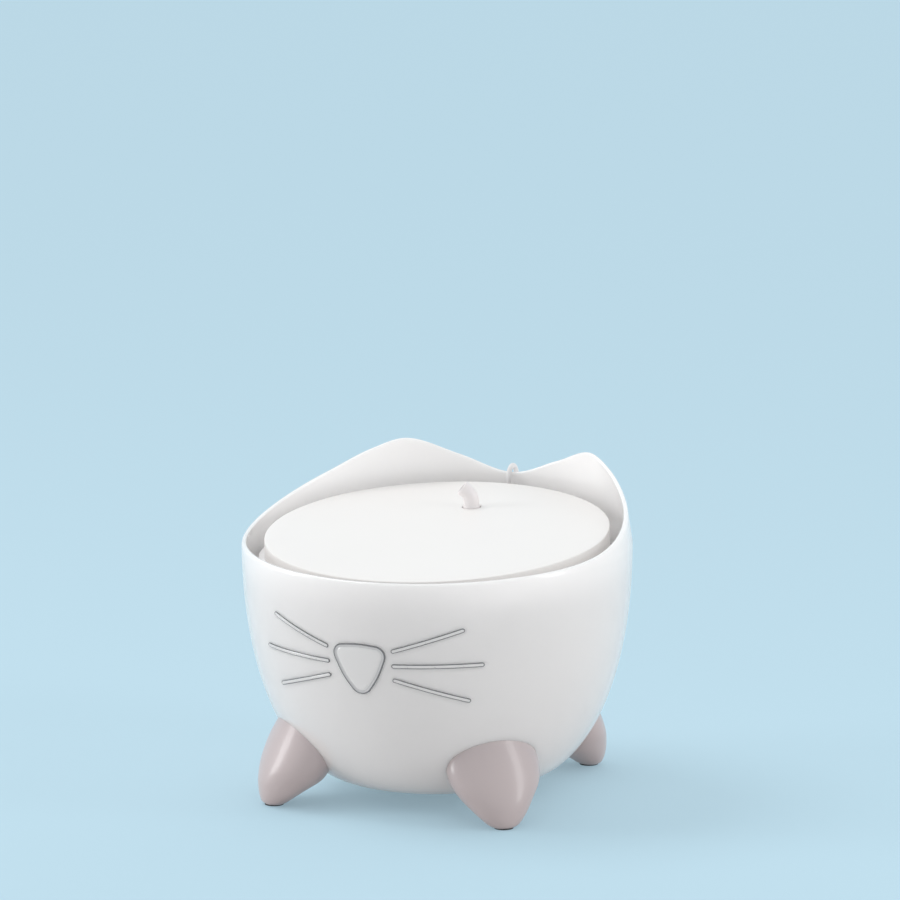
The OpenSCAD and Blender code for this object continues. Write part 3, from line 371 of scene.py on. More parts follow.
class Skin:
    def __init__(self):
        self.points, self.faces, self.tints = [], [], []

    def ring(self, points):
        start = len(self.points)
        self.points.extend(tuple(p) for p in points)
        return list(range(start, len(self.points)))

    def loft(self, rings, tint=0, closed=False):
        ids = [self.ring(r) for r in rings]
        for a, b in zip(ids, ids[1:] + ids[:1] if closed else ids[1:]):
            for i in range(len(a)):
                j = (i + 1) % len(a)
                self.faces.append([a[i], a[j], b[j], b[i]])
                self.tints.append(tint)
        return ids

    def cap(self, ids, tint=0):
        self.faces.append(list(ids))
        self.tints.append(tint)

    def solid(self, rings, tint=0):
        ids = self.loft(rings, tint)
        self.cap(ids[0], tint)
        self.cap(ids[-1], tint)

    def flat(self, loops, place, tint=0):
        points, faces = flatFaces(loops)
        ids = self.ring([place(x, y) for x, y in points])
        for face in faces:
            self.faces.append([ids[i] for i in face])
            self.tints.append(tint)

    def slab(self, outer, holes, top, low, edge, lowEdge=None, tint=0):
        lowEdge = edge if lowEdge is None else lowEdge
        sides = [wall(outer, top, low, edge, lowEdge)] + [wall(h, top, low, edge, lowEdge, -1) for h in holes]
        for rings in sides:
            self.loft(rings, tint)
        self.flat([[p[:2] for p in rings[0]] for rings in sides], lambda x, y: (x, y, top), tint)
        self.flat([[p[:2] for p in rings[-1]] for rings in sides], lambda x, y: (x, y, low), tint)

    def move(self, matrix, start=0):
        self.points[start:] = [tuple(matrix @ Vector(p)) for p in self.points[start:]]

    def make(self, name, looks, body, stands=(), sharp=38, blend=None):
        mesh = bpy.data.meshes.new(name)
        mesh.from_pydata([(x * mm, y * mm, z * mm) for x, y, z in self.points], [], self.faces)
        for look in looks:
            mesh.materials.append(finishes[look])
        for polygon, tint in zip(mesh.polygons, self.tints):
            polygon.material_index = tint
        work = bmesh.new()
        work.from_mesh(mesh)
        bmesh.ops.remove_doubles(work, verts=work.verts, dist=2e-6)
        bmesh.ops.dissolve_degenerate(work, edges=work.edges, dist=1e-7)
        bmesh.ops.recalc_face_normals(work, faces=work.faces)
        for face in work.faces:
            face.smooth = True
        work.to_mesh(mesh)
        work.free()
        mesh.set_sharp_from_angle(angle=radians(sharp))
        piece = addPiece(name, mesh)
        if blend:
            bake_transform(piece)
        else:
            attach(piece, body)
        if stands:
            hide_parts(*stands)
        return piece


def lathe(profile, x=0, y=0, count=96):
    return [[(x + r * cos(t), y + r * sin(t), z) for t in turnsOf(count)] for r, z in profile]


def rod(stations, y=0, z=0, count=24):  # round about the x axis
    return [[(x, y + r * cos(t), z + r * sin(t)) for t in turnsOf(count)] for x, r in stations]


def sweep(path, radii, sides=24):
    points = [Vector(p) for p in path]
    rings, side = [], None
    for i, point in enumerate(points):
        ahead = (points[min(i + 1, len(points) - 1)] - points[max(i - 1, 0)]).normalized()
        side = Vector((0.31, 0.17, 0.94)) if side is None else side
        side = (side - ahead * side.dot(ahead)).normalized()
        other = ahead.cross(side)
        radius = radii[i] if isinstance(radii, list) else radii
        rings.append([point + radius * (cos(t) * side + sin(t) * other) for t in turnsOf(sides)])
    return rings


def hermite(xs, ys, x, flatEnds=False):  # a smooth curve through the keys
    last = len(xs) - 1
    i = int(min(max(np.searchsorted(xs, x) - 1, 0), last - 1))

    def slope(k):
        low, high = max(k - 1, 0), min(k + 1, last)
        return 0 if flatEnds and k in (0, last) else (ys[high] - ys[low]) / (xs[high] - xs[low])

    h = xs[i + 1] - xs[i]
    t = (x - xs[i]) / h
    return (ys[i] * (2 * t ** 3 - 3 * t ** 2 + 1) + slope(i) * h * (t ** 3 - 2 * t ** 2 + t)
            + ys[i + 1] * (3 * t ** 2 - 2 * t ** 3) + slope(i + 1) * h * (t ** 3 - t ** 2))


# bowl
bowl = {
    "radius": 113, "wall": 2.5, "lift": 9.5, "flat": 50, "floor": 14, "power": 2.1,
    "rimFront": 146, "lean": 0.15, "columns": 320, "split": 128,  # even steps above the split
    "rimAngles": (0, 45, 75, 95, 120, 135, 147, 163, 180),  # degrees from the front
    "rimRises": (0, 1.2, 4, 10.4, 24, 34.8, 40, 30, 20),
    "ribs": (-119, -45, 45, 119), "ribIn": 100.8, "ribThick": 2.5, "ribDeep": 12, "ribLow": 72,
    "seat": 132, "bossY": 96, "bossHalf": 45, "bossDeep": 14, "bossCorner": 3.5, "bossLow": 58, "cordSlot": 4,
}


def around(radius, psi, z):
    return (radius * sin(radians(psi)), -radius * cos(radians(psi)), z)


def rimHeight(psi):
    side = min(psi, 360 - psi)
    return bowl["rimFront"] + hermite(bowl["rimAngles"], bowl["rimRises"], side, flatEnds=True)


def bellyRadius(z, inset=0):
    b = bowl
    if z > b["rimFront"]:
        return b["radius"] - inset - b["lean"] * (z - b["rimFront"])
    t = min(1, max(0, (b["rimFront"] - z) / (b["rimFront"] - b["lift"] - inset)))
    return b["flat"] + (b["radius"] - inset - b["flat"]) * (1 - t ** b["power"]) ** (1 / b["power"])


def bowlColumn(psi):
    b = bowl
    top, half, split, floor = rimHeight(psi), b["wall"] / 2, b["split"], b["floor"]

    def skin(inset):
        low = b["lift"] + inset
        heights = []
        for i in range(41):
            a = radians(90 * i / 40)
            z = b["rimFront"] - (b["rimFront"] - low) * cos(a) ** (2 / b["power"])
            if z < split:
                heights.append(z)
        heights += [split + (top - half - split) * i / 14 for i in range(15)]
        return [(bellyRadius(z, inset), z) for z in heights]

    middle = bellyRadius(top, half)
    crown = [(middle + half * cos(t), top - half + half * sin(t)) for t in turnsOf(16)[1:8]]
    inner = [p for p in skin(b["wall"]) if p[1] > floor + 2]
    floorR = bellyRadius(floor + 1.2, b["wall"])
    start = [(0.001, b["lift"]), (20, b["lift"]), (b["flat"] - 4, b["lift"])]
    end = [(floorR, floor + 1.2), (floorR - 1.2, floor + 0.3)]
    end += [(r, floor) for r in (floorR - 3, 25, 0.001)]
    return start + skin(0) + crown + inner[::-1] + end


def buildBowl():
    n = bowl["columns"]
    columns = [[around(r, 360 * k / n, z) for r, z in bowlColumn(360 * k / n)] for k in range(n)]
    skin = Skin()
    skin.loft(list(zip(*columns)))
    skin.make("bowlShell", ["bowlWhite"], "bowl", ["bowl_shell"], sharp=50)


def clampToWall(points, inset):
    kept = []
    for x, y, z in points:
        r, most = hypot(x, y), bellyRadius(z, inset)
        s = min(1, most / max(r, 1e-6))
        kept.append((x * s, y * s, z))
    return kept


def buildBowlInside():
    b = bowl
    skin = Skin()
    for psi in b["ribs"]:
        start = len(skin.points)
        loop = roundedRectangle(b["ribThick"], b["ribDeep"], 1.0, 4, 0, -(b["ribIn"] + b["ribDeep"] / 2))
        found = [(loop, z) for z in np.linspace(b["ribLow"], b["seat"] - 0.6, 24)]
        skin.solid(rows(found + [(offset(loop, 0.6), b["seat"])]))
        skin.move(stand(0, 0, 0, psi), start)
        skin.points[start:] = clampToWall(skin.points[start:], b["wall"] / 2)
    for side in (-1, 1):
        width = b["bossHalf"] - b["cordSlot"]
        middle = side * (b["cordSlot"] + width / 2)
        deep = b["bossDeep"]
        loop = roundedRectangle(width, deep, b["bossCorner"], 8, middle, b["bossY"] + deep / 2)
        loop = densify(loop, 2)
        found = [(loop, z) for z in np.linspace(b["bossLow"], b["seat"] - 1.2, 38)]
        found += [(offset(loop, inset), b["seat"] - drop) for inset, drop in reversed(lip(1.2))]
        skin.solid([clampToWall(ring, b["wall"] / 2) for ring in rows(found)])
    skin.make("bowlSeats", ["bowlWhite"], "bowl", [])


# face windows; a step of a frame is its inset, its height and its look
face = {
    "noseZ": 96, "noseHalf": 10, "noseUp": 7, "noseDown": 10.5, "noseCorner": 6, "noseBow": 0.22,
    "slotWide": 2.5, "deep": 2.56,
    # per whisker: angle and height over noseZ, of the outer end, then of the inner end
    "whiskers": [(31.2, 23, 10.7, 10.5), (37.2, 2.2, 10.7, 1.5), (33.4, -19.3, 10.8, -7)],
    "noseSteps": [(0, 0.35, 1), (0.25, 0.6, 1), (0.7, 0.6, 1), (1.0, 0.25, 0), (2.2, 0.15, 0), (2.8, 0.55, 2),
                  (3.3, 0.65, 2)],
    "slotSteps": [(0, 0.3, 1), (0.2, 0.5, 1), (0.45, 0.45, 1), (0.6, 0.2, 0), (0.85, 0.35, 0)],
}


def onWall(x, z, turn, lift):
    s, c = sin(turn), cos(turn)
    r = bellyRadius(z) + lift
    y = -sqrt(max(0, r * r - x * x))
    return (x * c - y * s, x * s + y * c, z)


def noseLoop():
    f = face
    centres = [(-f["noseHalf"], f["noseUp"]), (0, -f["noseDown"]), (f["noseHalf"], f["noseUp"])]
    loop = []
    for i, p in enumerate(centres):
        before, after = centres[i - 1], centres[(i + 1) % 3]
        a0 = atan2(p[1] - before[1], p[0] - before[0]) - pi / 2
        a1 = atan2(after[1] - p[1], after[0] - p[0]) - pi / 2
        while a1 < a0:
            a1 += 2 * pi
        for k in range(13):
            a = a0 + (a1 - a0) * k / 12
            loop.append((p[0] + f["noseCorner"] * cos(a), p[1] + f["noseCorner"] * sin(a)))
    bowed = []
    for x, z in densify(loop, 0.7):
        reach = hypot(x, z)
        swell = 1 + f["noseBow"] * max(0, f["noseDown"] + f["noseCorner"] - reach) / reach
        bowed.append((x * swell, z * swell + f["noseZ"]))
    return bowed


def slotLoop(p, q, wide):
    turn = atan2((p[0] + q[0]) / 2, -(p[1] + q[1]) / 2)
    s, c = sin(turn), cos(turn)
    a, b = [(v[0] * c + v[1] * s, v[2]) for v in (p, q)]
    lean = atan2(b[1] - a[1], b[0] - a[0])
    loop = []
    for (x, z), start in ((b, -90), (a, 90)):
        for k in range(17):
            t = lean + radians(start + 180 * k / 16)
            loop.append((x + wide / 2 * cos(t), z + wide / 2 * sin(t)))
    return densify(loop, 0.8), turn


def frameSteps(skin, loop, turn, steps):
    steps = [(0, -face["deep"], 1)] + steps
    rings = [[onWall(x, z, turn, lift) for x, z in offset(loop, inset)] for inset, lift, _ in steps]
    for i, (_, _, look) in enumerate(steps[1:]):
        skin.loft(rings[i:i + 2], look)


def buildNoseWindow():
    skin = Skin()
    loop, steps = noseLoop(), face["noseSteps"]
    frameSteps(skin, loop, 0, steps)
    inset, lift, look = steps[-1]
    inner = offset(loop, inset)
    centre = np.mean(inner, axis=0)
    for edge, height, tint, shares in ((inner, lift, look, (1, 0.75, 0.5, 0.25, 0.001)),
                                       (loop, -face["deep"], 0, (1, 0.7, 0.4, 0.001))):
        shrunk = [centre + (np.array(edge) - centre) * share for share in shares]
        skin.loft([[onWall(x, z, 0, height) for x, z in ring] for ring in shrunk], tint)
    looks = ["windowGrey", "windowEdge", "windowPale"]
    skin.make("noseWindow", looks, "bowl", ["nose_window"], sharp=30)


def buildWhiskerWindows():
    skin = Skin()
    for side in (-1, 1):
        for outerPsi, outerUp, innerPsi, innerUp in face["whiskers"]:
            ends = []
            for psi, up in ((outerPsi, outerUp), (innerPsi, innerUp)):
                z = face["noseZ"] + up
                ends.append(around(bellyRadius(z), side * psi, z))
            loop, turn = slotLoop(*ends, face["slotWide"])
            inset, lift, _ = face["slotSteps"][-1]
            frameSteps(skin, loop, turn, face["slotSteps"])
            skin.flat([offset(loop, inset)], lambda x, z: onWall(x, z, turn, lift))
            skin.flat([loop], lambda x, z: onWall(x, z, turn, -face["deep"]))
    looks = ["windowPale", "windowEdge"]
    skin.make("whiskerWindows", looks, "bowl", ["whisker_windows"], sharp=30)


# feet; each ring is its height, its way in, its depth and its share of the width
feet = {
    "tipAt": 102, "halfWide": 27.5, "sides": 128, "sink": 0.9,
    "places": {
        "foot_front_left": -45, "foot_front_right": 45, "foot_rear_left": -144, "foot_rear_right": 144},
    "rings": [
        (0.6, 0, 6.3, 0.26), (3, 1, 8.5, 0.37), (8, 4.5, 12.9, 0.55), (15, 10.4, 18.7, 0.76),
        (23, 13.4, 19.7, 0.94), (31, 16.4, 19.7, 1), (39, 19.1, 18.9, 0.96), (47, 21.8, 17.3, 0.86),
        (54, 24.2, 15.7, 0.73), (60, 26.2, 13.8, 0.62)],
}


def buildFeet():
    f = feet
    keys = np.array(f["rings"], float)
    heights = np.concatenate([[0.6, 0.75, 1.1, 1.7, 2.4], np.linspace(3.2, 60, 64)])
    inwards, deeps, wides = [[hermite(keys[:, 0], keys[:, k], z) for z in heights] for k in (1, 2, 3)]
    for node, psi in f["places"].items():
        skin = Skin()
        rings = []
        for z, inward, deep, wide in zip(heights, inwards, deeps, wides):
            tuck = max(0, 1 - (z - 0.6) / 1.8) ** 2 * 1.1  # the rounded edge under the foot
            u, v, y = wide * f["halfWide"] - tuck, deep - tuck, inward - f["tipAt"]
            rings.append([(u * cos(t), y + v * sin(t), z) for t in turnsOf(f["sides"])])
        skin.solid(rings)
        skin.move(stand(0, 0, 0, psi))
        skin.points = [pushOut(p, f["sink"]) for p in skin.points]
        name = node.replace("_", " ").title().replace(" ", "")
        skin.make(name, ["footTaupe"], "bowl", [node], sharp=60)


def pushOut(point, sink):
    x, y, z = point
    if z <= bowl["lift"] + sink:
        return point
    r, least = hypot(x, y), bellyRadius(z, 0) - sink
    s = max(1, least / max(r, 1e-6))
    return (x * s, y * s, z)


buildBowl()
buildBowlInside()
buildNoseWindow()
buildWhiskerWindows()
buildFeet()
print("bowl, face and feet built")

# pump
pump = {
    "place": (-7.644, 42.356, 18.8), "turn": 225,
    "long": 46, "wide": 39.5, "high": 29.5, "corner": 5, "wall": 2, "coverEnd": -20.45,
    "outletAt": (-10.81, 0), "outletD": 9, "outletBore": 6, "outletTop": 46,
    "emblemAt": (5, -4), "emblem": (16, 10),
    "openEnd": -18.5,  # the wall's inside ends here, before the inlet cover
    "knobAt": (13, 21.8), "knobD": 8.5, "knobFrom": 21.6, "knobTo": 33,
    "knobGrooves": 12, "grooveDeep": 0.28, "stemFrom": 19.2, "stemD": 2.9,
}
pumpPlace = stand(*pump["place"], pump["turn"])


def buildPumpCase():
    p = pump
    outline = roundedRectangle(p["wide"], p["high"], p["corner"], 10)
    section = lambda x, inset: [(x, y, z + p["high"] / 2) for y, z in offset(outline, inset)]
    start, end = p["coverEnd"], p["long"] / 2
    skin = Skin()
    rings = [section(start, 0.35), section(start + 0.3, 0.05), section(start + 0.6, 0)]
    rings += [section(end - drop, inset) for inset, drop in reversed(lip(0.9))]
    rings += [section(end - drop, p["wall"] - inset) for inset, drop in lip(0.4)]
    skin.solid(rings + [section(p["openEnd"], p["wall"])])

    r, bore, low, top = p["outletD"] / 2, p["outletBore"] / 2, p["high"], p["outletTop"]
    profile = [(bore, low - 1.5), (r + 1.4, low - 1.5), (r + 1.4, low - 0.2)]
    fillet = ((1.4, 0.0), (0.8, 0.15), (0.4, 0.45), (0.1, 1.0), (0.0, 1.6))
    profile += [(r + inset, low + drop) for inset, drop in fillet]
    profile += [(r - inset, top - drop) for inset, drop in reversed(lip(0.8))]
    profile += [(bore + inset, top - drop) for inset, drop in lip(0.4)]
    skin.loft(lathe(profile, *p["outletAt"]), closed=True)

    wide, deep = p["emblem"]
    inner = roundedRectangle(wide - 2.4, deep - 2.4, 1.2, 8, *p["emblemAt"])
    skin.slab(roundedRectangle(wide, deep, 2.2, 8, *p["emblemAt"]), [inner], low + 0.4, low - 0.3, 0.2)
    skin.move(pumpPlace)
    skin.make("pumpCase", ["pumpGrey"], "pump", ["pump_housing"])


def buildKnob():
    p = pump
    skin = Skin()
    y, z = p["knobAt"]
    low, high = p["knobFrom"], p["knobTo"]
    rings = []
    stations = [(low, 0.5), (low + 0.3, 0.1), (low + 2.6, 0)] + [(high - d, i) for i, d in reversed(lip(0.6))]
    for x, inset in stations:
        groove = 0 if x < low + 2 else p["grooveDeep"]
        ring = []
        for t in turnsOf(144):
            r = p["knobD"] / 2 - inset - groove * max(0, cos(p["knobGrooves"] * t)) ** 3
            ring.append((x, y + r * cos(t), z + r * sin(t)))
        rings.append(ring)
    skin.solid(rings)
    skin.solid(rod([(x, p["stemD"] / 2) for x in (p["stemFrom"], low + 0.5)], y, z))
    skin.move(pumpPlace)
    skin.make("flowKnob", ["pumpWhite"], "knob", ["flow_knob"])


buildPumpCase()
buildKnob()
print("pump built")

# filter tray, cup and pull ring; a reach is a distance from the filter's middle at an angle
stackY = 50  # riser, cup, lid hole and spout stand on this line
tray = {
    "top": 139.1, "band": 7, "wall": 2, "radius": 103.2, "edge": 1.1,
    "filterY": -44, "basinLow": 133.8, "ledge": 131.5, "lobeFloor": 123.1, "low": 115.1,
    "mouthRear": 91, "mouthRearY": -56, "mouthFront": 96.7,
    "pocket": 92, "pocketCorner": 20, "inside": 87.6, "insideCorner": 17.8,
    "lobeR": 21.65, "lobeAt": 20.85, "drainD": 26, "wellR": 11, "wellY": 13.5,
    "fingerD": 22, "fingerR": 72, "fingerAt": 121.5, "notchHalf": 18, "notchIn": 17, "columns": 360,
}


def squareReach(angle, width, corner):
    u, v = abs(cos(angle)), abs(sin(angle))
    half, inner = width / 2, width / 2 - corner
    if u > 1e-9 and half / u * v <= inner:
        return half / u
    if v > 1e-9 and half / v * u <= inner:
        return half / v
    b = inner * (u + v)
    return b + sqrt(max(0, b * b - (2 * inner * inner - corner * corner)))


def lobeReach(angle, radius, at):
    u, v = abs(cos(angle)), abs(sin(angle))
    b = at * (u + v)
    inside = b * b - (2 * at * at - radius * radius)
    return max(at, b + sqrt(inside)) if inside > 0 else at


def mouthReach(angle):
    t, v = tray, sin(angle)
    reach = []
    for cy, radius in ((-t["filterY"], t["mouthFront"]), (t["mouthRearY"] - t["filterY"], t["mouthRear"])):
        b = v * cy
        reach.append(b + sqrt(b * b - cy * cy + radius * radius))
    return min(reach)


def starLoop(reach, y, count):
    return [(reach(t) * cos(t), y + reach(t) * sin(t)) for t in turnsOf(count)]


def soften(values, times):
    a = np.array(values, float)
    for _ in range(times):
        a = 0.25 * np.roll(a, 1, 0) + 0.5 * a + 0.25 * np.roll(a, -1, 0)
    return a


def lerpLoops(a, b, t):
    return [(p[0] + (q[0] - p[0]) * t, p[1] + (q[1] - p[1]) * t) for p, q in zip(a, b)]


def trayOutline(radius, grow=0):
    t = tray
    half, deep, corner = t["notchHalf"] + grow, radius - t["notchIn"] - grow, 3
    gap = degrees(asin(half / radius))
    arc = [radians(90 + gap + (360 - 2 * gap) * k / 300) for k in range(301)]
    loop = [(radius * cos(a), radius * sin(a)) for a in arc]
    turns = [pi / 2 * k / 5 for k in range(6)]
    loop += [(half, y) for y in np.linspace(loop[-1][1] - 2, deep + corner + 1, 5)]
    loop += [(half - corner + corner * cos(a), deep + corner - corner * sin(a)) for a in turns]
    loop += [(x, deep) for x in np.linspace(half - corner - 3, -(half - corner - 3), 8)]
    loop += [(-(half - corner) - corner * sin(a), deep + corner - corner * cos(a)) for a in turns]
    loop += [(-half, y) for y in np.linspace(deep + corner + 1, loop[0][1] - 2, 5)]
    return loop


def slotReach(angle, radius):
    u, v = abs(cos(angle)), sin(angle)
    if v <= 0:
        return 0
    far = tray["wellY"] - tray["filterY"]
    inside = radius ** 2 - (far * u) ** 2
    if inside >= 0 and (far * v + sqrt(inside)) * v >= far:
        return far * v + sqrt(inside)
    return radius / u


def buildTray():
    t = tray
    y, top = t["filterY"], t["top"]
    floor, under = t["lobeFloor"], top - t["wall"]
    turns = np.radians(np.concatenate([np.linspace(70, 110, 101)[:-1], np.linspace(110, 430, 301)[:-1]]))
    cosines, sines = np.cos(turns), np.sin(turns)
    reaches = lambda reach, *sizes: np.array([reach(a, *sizes) for a in turns])
    loopOf = lambda points: [p[:2] for p in points]

    def ring(reach, z):
        points = zip(reach * cosines, y + reach * sines, np.broadcast_to(z, turns.shape))
        return [(float(u), float(v), float(w)) for u, v, w in points]

    def level(reach, high):
        share = np.clip((reach - square) / (mouth - square), 0, 1) ** 1.35
        return t["basinLow"] + (high - t["basinLow"]) * share

    square = reaches(squareReach, t["inside"], t["insideCorner"])
    recess = np.maximum(square, reaches(slotReach, t["wellR"] + 0.6))
    lobes = soften(reaches(lobeReach, t["lobeR"], t["lobeAt"]), 2)
    lower = np.maximum(lobes, reaches(slotReach, t["wellR"]))
    pocket = reaches(squareReach, t["pocket"], t["pocketCorner"])
    pocket = np.maximum(pocket, reaches(slotReach, t["wellR"] + t["wall"] + 0.4))
    mouth = soften(reaches(mouthReach), 3)

    skin = Skin()
    high = top - 1
    shoulder = ((1.4, top), (0.4, top - 0.1), (-0.6, top - 0.5), (-1.6, high + 0.1))
    slope = [ring(mouth + grow, z) for grow, z in shoulder]
    for k in range(1, 9):
        reach = mouth - 2.6 + (recess + 4.2 - mouth) * k / 8
        slope.append(ring(reach, level(reach, high)))
    slope += [ring(recess + inset, level(recess + inset, high) - drop) for inset, drop in lip(1.0, 5)]
    slope.append(ring(recess, t["ledge"]))
    skin.loft(slope)
    deep = [ring(lower + inset, t["ledge"] - drop) for inset, drop in lip(0.5)]
    deep += [ring(lower, floor + 1), ring(lower - 0.3, floor + 0.3), ring(lower - 1, floor)]
    skin.loft(deep)
    skin.flat([loopOf(slope[-1]), loopOf(deep[0])], lambda u, v: (u, v, t["ledge"]))
    at = t["lobeAt"]
    drains = [circle(sx * at, y + sy * at, t["drainD"] / 2, 64) for sx in (-1, 1) for sy in (-1, 1)]
    drainRings = [wall(d, floor, floor - t["wall"], 0.5, 0.3, -1) for d in drains]
    for rings in drainRings:
        skin.loft(rings)
    skin.flat([loopOf(deep[-1])] + [loopOf(r[0]) for r in drainRings], lambda u, v: (u, v, floor))

    outside = [ring(mouth + t["wall"], under)]
    for k in range(1, 7):
        reach = mouth + t["wall"] + (pocket - mouth - t["wall"]) * k / 6
        outside.append(ring(reach, level(reach - t["wall"], top) - t["wall"]))
    outside += [ring(pocket, floor - t["wall"] + 0.4), ring(pocket - 0.4, floor - t["wall"])]
    skin.loft(outside)
    below = floor - t["wall"]
    skin.flat([loopOf(outside[-1])] + [loopOf(r[-1]) for r in drainRings], lambda u, v: (u, v, below))
    skirt = []
    for width, corner in ((t["pocket"] + 0.04, t["pocketCorner"]),
                          (t["pocket"] - 2 * t["wall"], t["pocketCorner"] - t["wall"])):
        skirt.append(densify(roundedRectangle(width, width, corner, 12, 0, y), 3))
    skin.slab(skirt[0], skirt[1:], floor - 0.6, t["low"], 0.1, 0.5)

    edge = trayOutline(t["radius"])
    band = wall(edge, top, top - t["band"], t["edge"], 0.5)
    back = wall(trayOutline(t["radius"] - t["wall"], t["wall"]), under, top - t["band"], 0.01, 0.5, -1)
    skin.loft(band)
    skin.loft(back[1:])
    skin.flat([loopOf(band[-1]), loopOf(back[-1])], lambda u, v: (u, v, top - t["band"]))
    fingerRings = []
    for side in (-1, 1):
        a = radians(side * t["fingerAt"])
        hole = circle(t["fingerR"] * sin(a), -t["fingerR"] * cos(a), t["fingerD"] / 2)
        fingerRings.append(wall(hole, top, under, 0.6, 0.4, -1))
        skin.loft(fingerRings[-1])
    above = [loopOf(rings[0]) for rings in (band, slope, *fingerRings)]
    skin.flat(above, lambda u, v: (u, v, top))
    beneath = [loopOf(r) for r in (back[1], outside[0], *[rings[-1] for rings in fingerRings])]
    skin.flat(beneath, lambda u, v: (u, v, under))
    skin.make("filterTray", ["trayWhite"], "tray", ["filter_tray"], sharp=34)


cup = {
    "low": 139.2, "stemLow": 97.6, "stemD": 20.5, "bore": 9.5, "socketD": 16.6, "socketTop": 101.8,
    # the outside as radius and height over the tray, up, over the rim and back to the bore
    "outside": [
        (17.0, 0), (17.3, 0.3), (17.2, 1.2), (16.6, 4.8), (16.1, 5.9), (16.0, 6.3), (17.2, 6.6), (17.8, 7.1),
        (18.0, 7.9), (17.85, 8.9), (17.2, 9.8), (16.0, 10.5), (13.2, 11.1), (10.4, 11.3), (9.4, 11.45),
        (8.9, 11.9), (8.3, 12.3), (7.6, 12.4), (5.7, 12.4), (5.0, 12.3)],
    "ringDir": 24, "ringBack": 14, "ringOut": 25, "ringR": 10, "rod": 4, "hingeZ": 141.7,
    "pin": [(8, 1.2), (27.2, 1.2), (27.6, 0.8)],
    "barrel": [(21, 1.3), (21, 1.9), (21.3, 2.2), (28.7, 2.2), (29, 1.9), (29, 0.01)],
}
ringHinge = stand(0, stackY, 0, cup["ringDir"]) @ Matrix.Translation((0, cup["ringBack"], cup["hingeZ"]))


def buildCup():
    c = cup
    z, low, socketTop = c["low"], c["stemLow"], c["socketTop"]
    bore, socket, stem = c["bore"] / 2, c["socketD"] / 2, c["stemD"] / 2
    profile = [(bore, z + 12.1), (bore, socketTop), (socket, socketTop), (socket, low + 0.5), (8.8, low)]
    profile += [(9.7, low), (stem - 0.2, low + 0.25), (stem, low + 0.8), (stem, z)]
    skin = Skin()
    skin.loft(lathe(profile + [(r, z + up) for r, up in c["outside"]], 0, stackY), closed=True)
    start = len(skin.points)
    skin.solid(rod(cup["pin"]))
    skin.move(ringHinge, start)
    skin.make("spoutCup", ["trayWhite"], "tray", ["spout_cup"])


def buildPullRing():
    c = cup
    skin = Skin()
    rings = []
    for a in turnsOf(120):
        thick = c["rod"] / 2 + 0.15 * max(0, -sin(a)) ** 6  # a little stouter at the hinge
        ring = []
        for b in turnsOf(28):
            r = c["ringR"] + thick * cos(b)
            x, y = r * cos(a) + c["ringOut"], r * sin(a) + c["ringR"]
            ring.append((x, y, thick * 0.92 * sin(b)))
        rings.append(ring)
    skin.loft(rings, closed=True)
    ids = skin.loft(rod(c["barrel"], count=32))
    skin.cap(ids[0])
    skin.move(ringHinge)
    skin.make("pullRing", ["trayWhite"], "ring", ["pull_ring"])


buildTray()
buildCup()
buildPullRing()
print("tray, cup and ring built")

# filter
pad = {
    "width": 87, "corner": 17.5, "top": 132.6, "thick": 1, "hole": 8.6, "swell": 0.9, "seam": 2.0,
    "lobeR": 20.45, "lobeAt": 20.85, "deep": 7.6, "columns": 288,
}


def ease(v):
    v = max(0, min(1, v))
    return v ** 2 * (3 - 2 * v)


def fillAt(x, y):  # 1 where the pad is stuffed, 0 on its border and round its hole
    angle = atan2(y - tray["filterY"], x)
    r = hypot(x, y - tray["filterY"])
    border = squareReach(angle, pad["width"] - 4, pad["corner"] - 2)
    return ease((border - r) / 2.4) * ease((r - pad["hole"] - 0.6) / 1.4)


def buildSheet(outer, hole, low):
    p, top = pad, pad["top"]
    skin = Skin()
    rings = rows([(offset(outer, 0.3), low), (outer, low + 0.3), (outer, top - 0.35)])
    for k in range(36):
        ring = []
        for x, y in lerpLoops(offset(outer, 0.5), offset(hole, -0.4), k / 35):
            along = y - tray["filterY"]
            cross = 1 - 0.5 * exp(-(x / p["seam"]) ** 2) - 0.3 * exp(-(along / p["seam"]) ** 2)
            ring.append((x, y, top + p["swell"] * fillAt(x, y) * cross))
        rings.append(ring)
    skin.loft(rings + rows([(hole, top - 0.3), (hole, low)]), closed=True)
    sheet = skin.make("filterSheet", ["sheetCloth"], "filter", ["filter_sheet"], sharp=60)
    level = sheet.data.attributes.new("fill", "FLOAT", "POINT")
    level.data.foreach_set("value", [fillAt(v.co.x / mm, v.co.y / mm) for v in sheet.data.vertices])


def buildPouch(hole, low):
    p, y = pad, tray["filterY"]
    skin = Skin()
    lobes = soften(starLoop(lambda a: lobeReach(a, p["lobeR"], p["lobeAt"]), y, p["columns"]), 2)
    bottom = low - p["deep"]
    found = [(offset(lobes, 0.2), low - 0.05), (lobes, low - 1.5), (offset(lobes, 0.3), bottom + 2.4)]
    found += [(offset(lobes, 0.3 + inset), bottom + drop) for inset, drop in reversed(lip(2.2, 5))]
    found += [(lerpLoops(offset(lobes, 2.5), hole, k / 8), bottom) for k in range(1, 8)]
    skin.loft(rows(found + [(hole, bottom + 0.5), (hole, low - 0.05)]), closed=True)
    skin.make("filterPouch", ["granules"], "filter", ["filter_pouch"], sharp=60)


def buildFilter():
    p, y = pad, tray["filterY"]
    outer = starLoop(lambda a: squareReach(a, p["width"], p["corner"]), y, p["columns"])
    hole = circle(0, y, p["hole"], p["columns"])
    buildSheet(outer, hole, p["top"] - p["thick"])
    buildPouch(hole, p["top"] - p["thick"])


buildFilter()
print("filter built")

# lid
lid = {
    "low": 139.2, "radius": 99.8, "front": 5, "rear": 21.8, "wall": 2, "edge": 0.7, "hole": 5.45,
    "notch": 26.7, "notchUp": 2,  # the raised front edge: degrees to each side, and its height
}


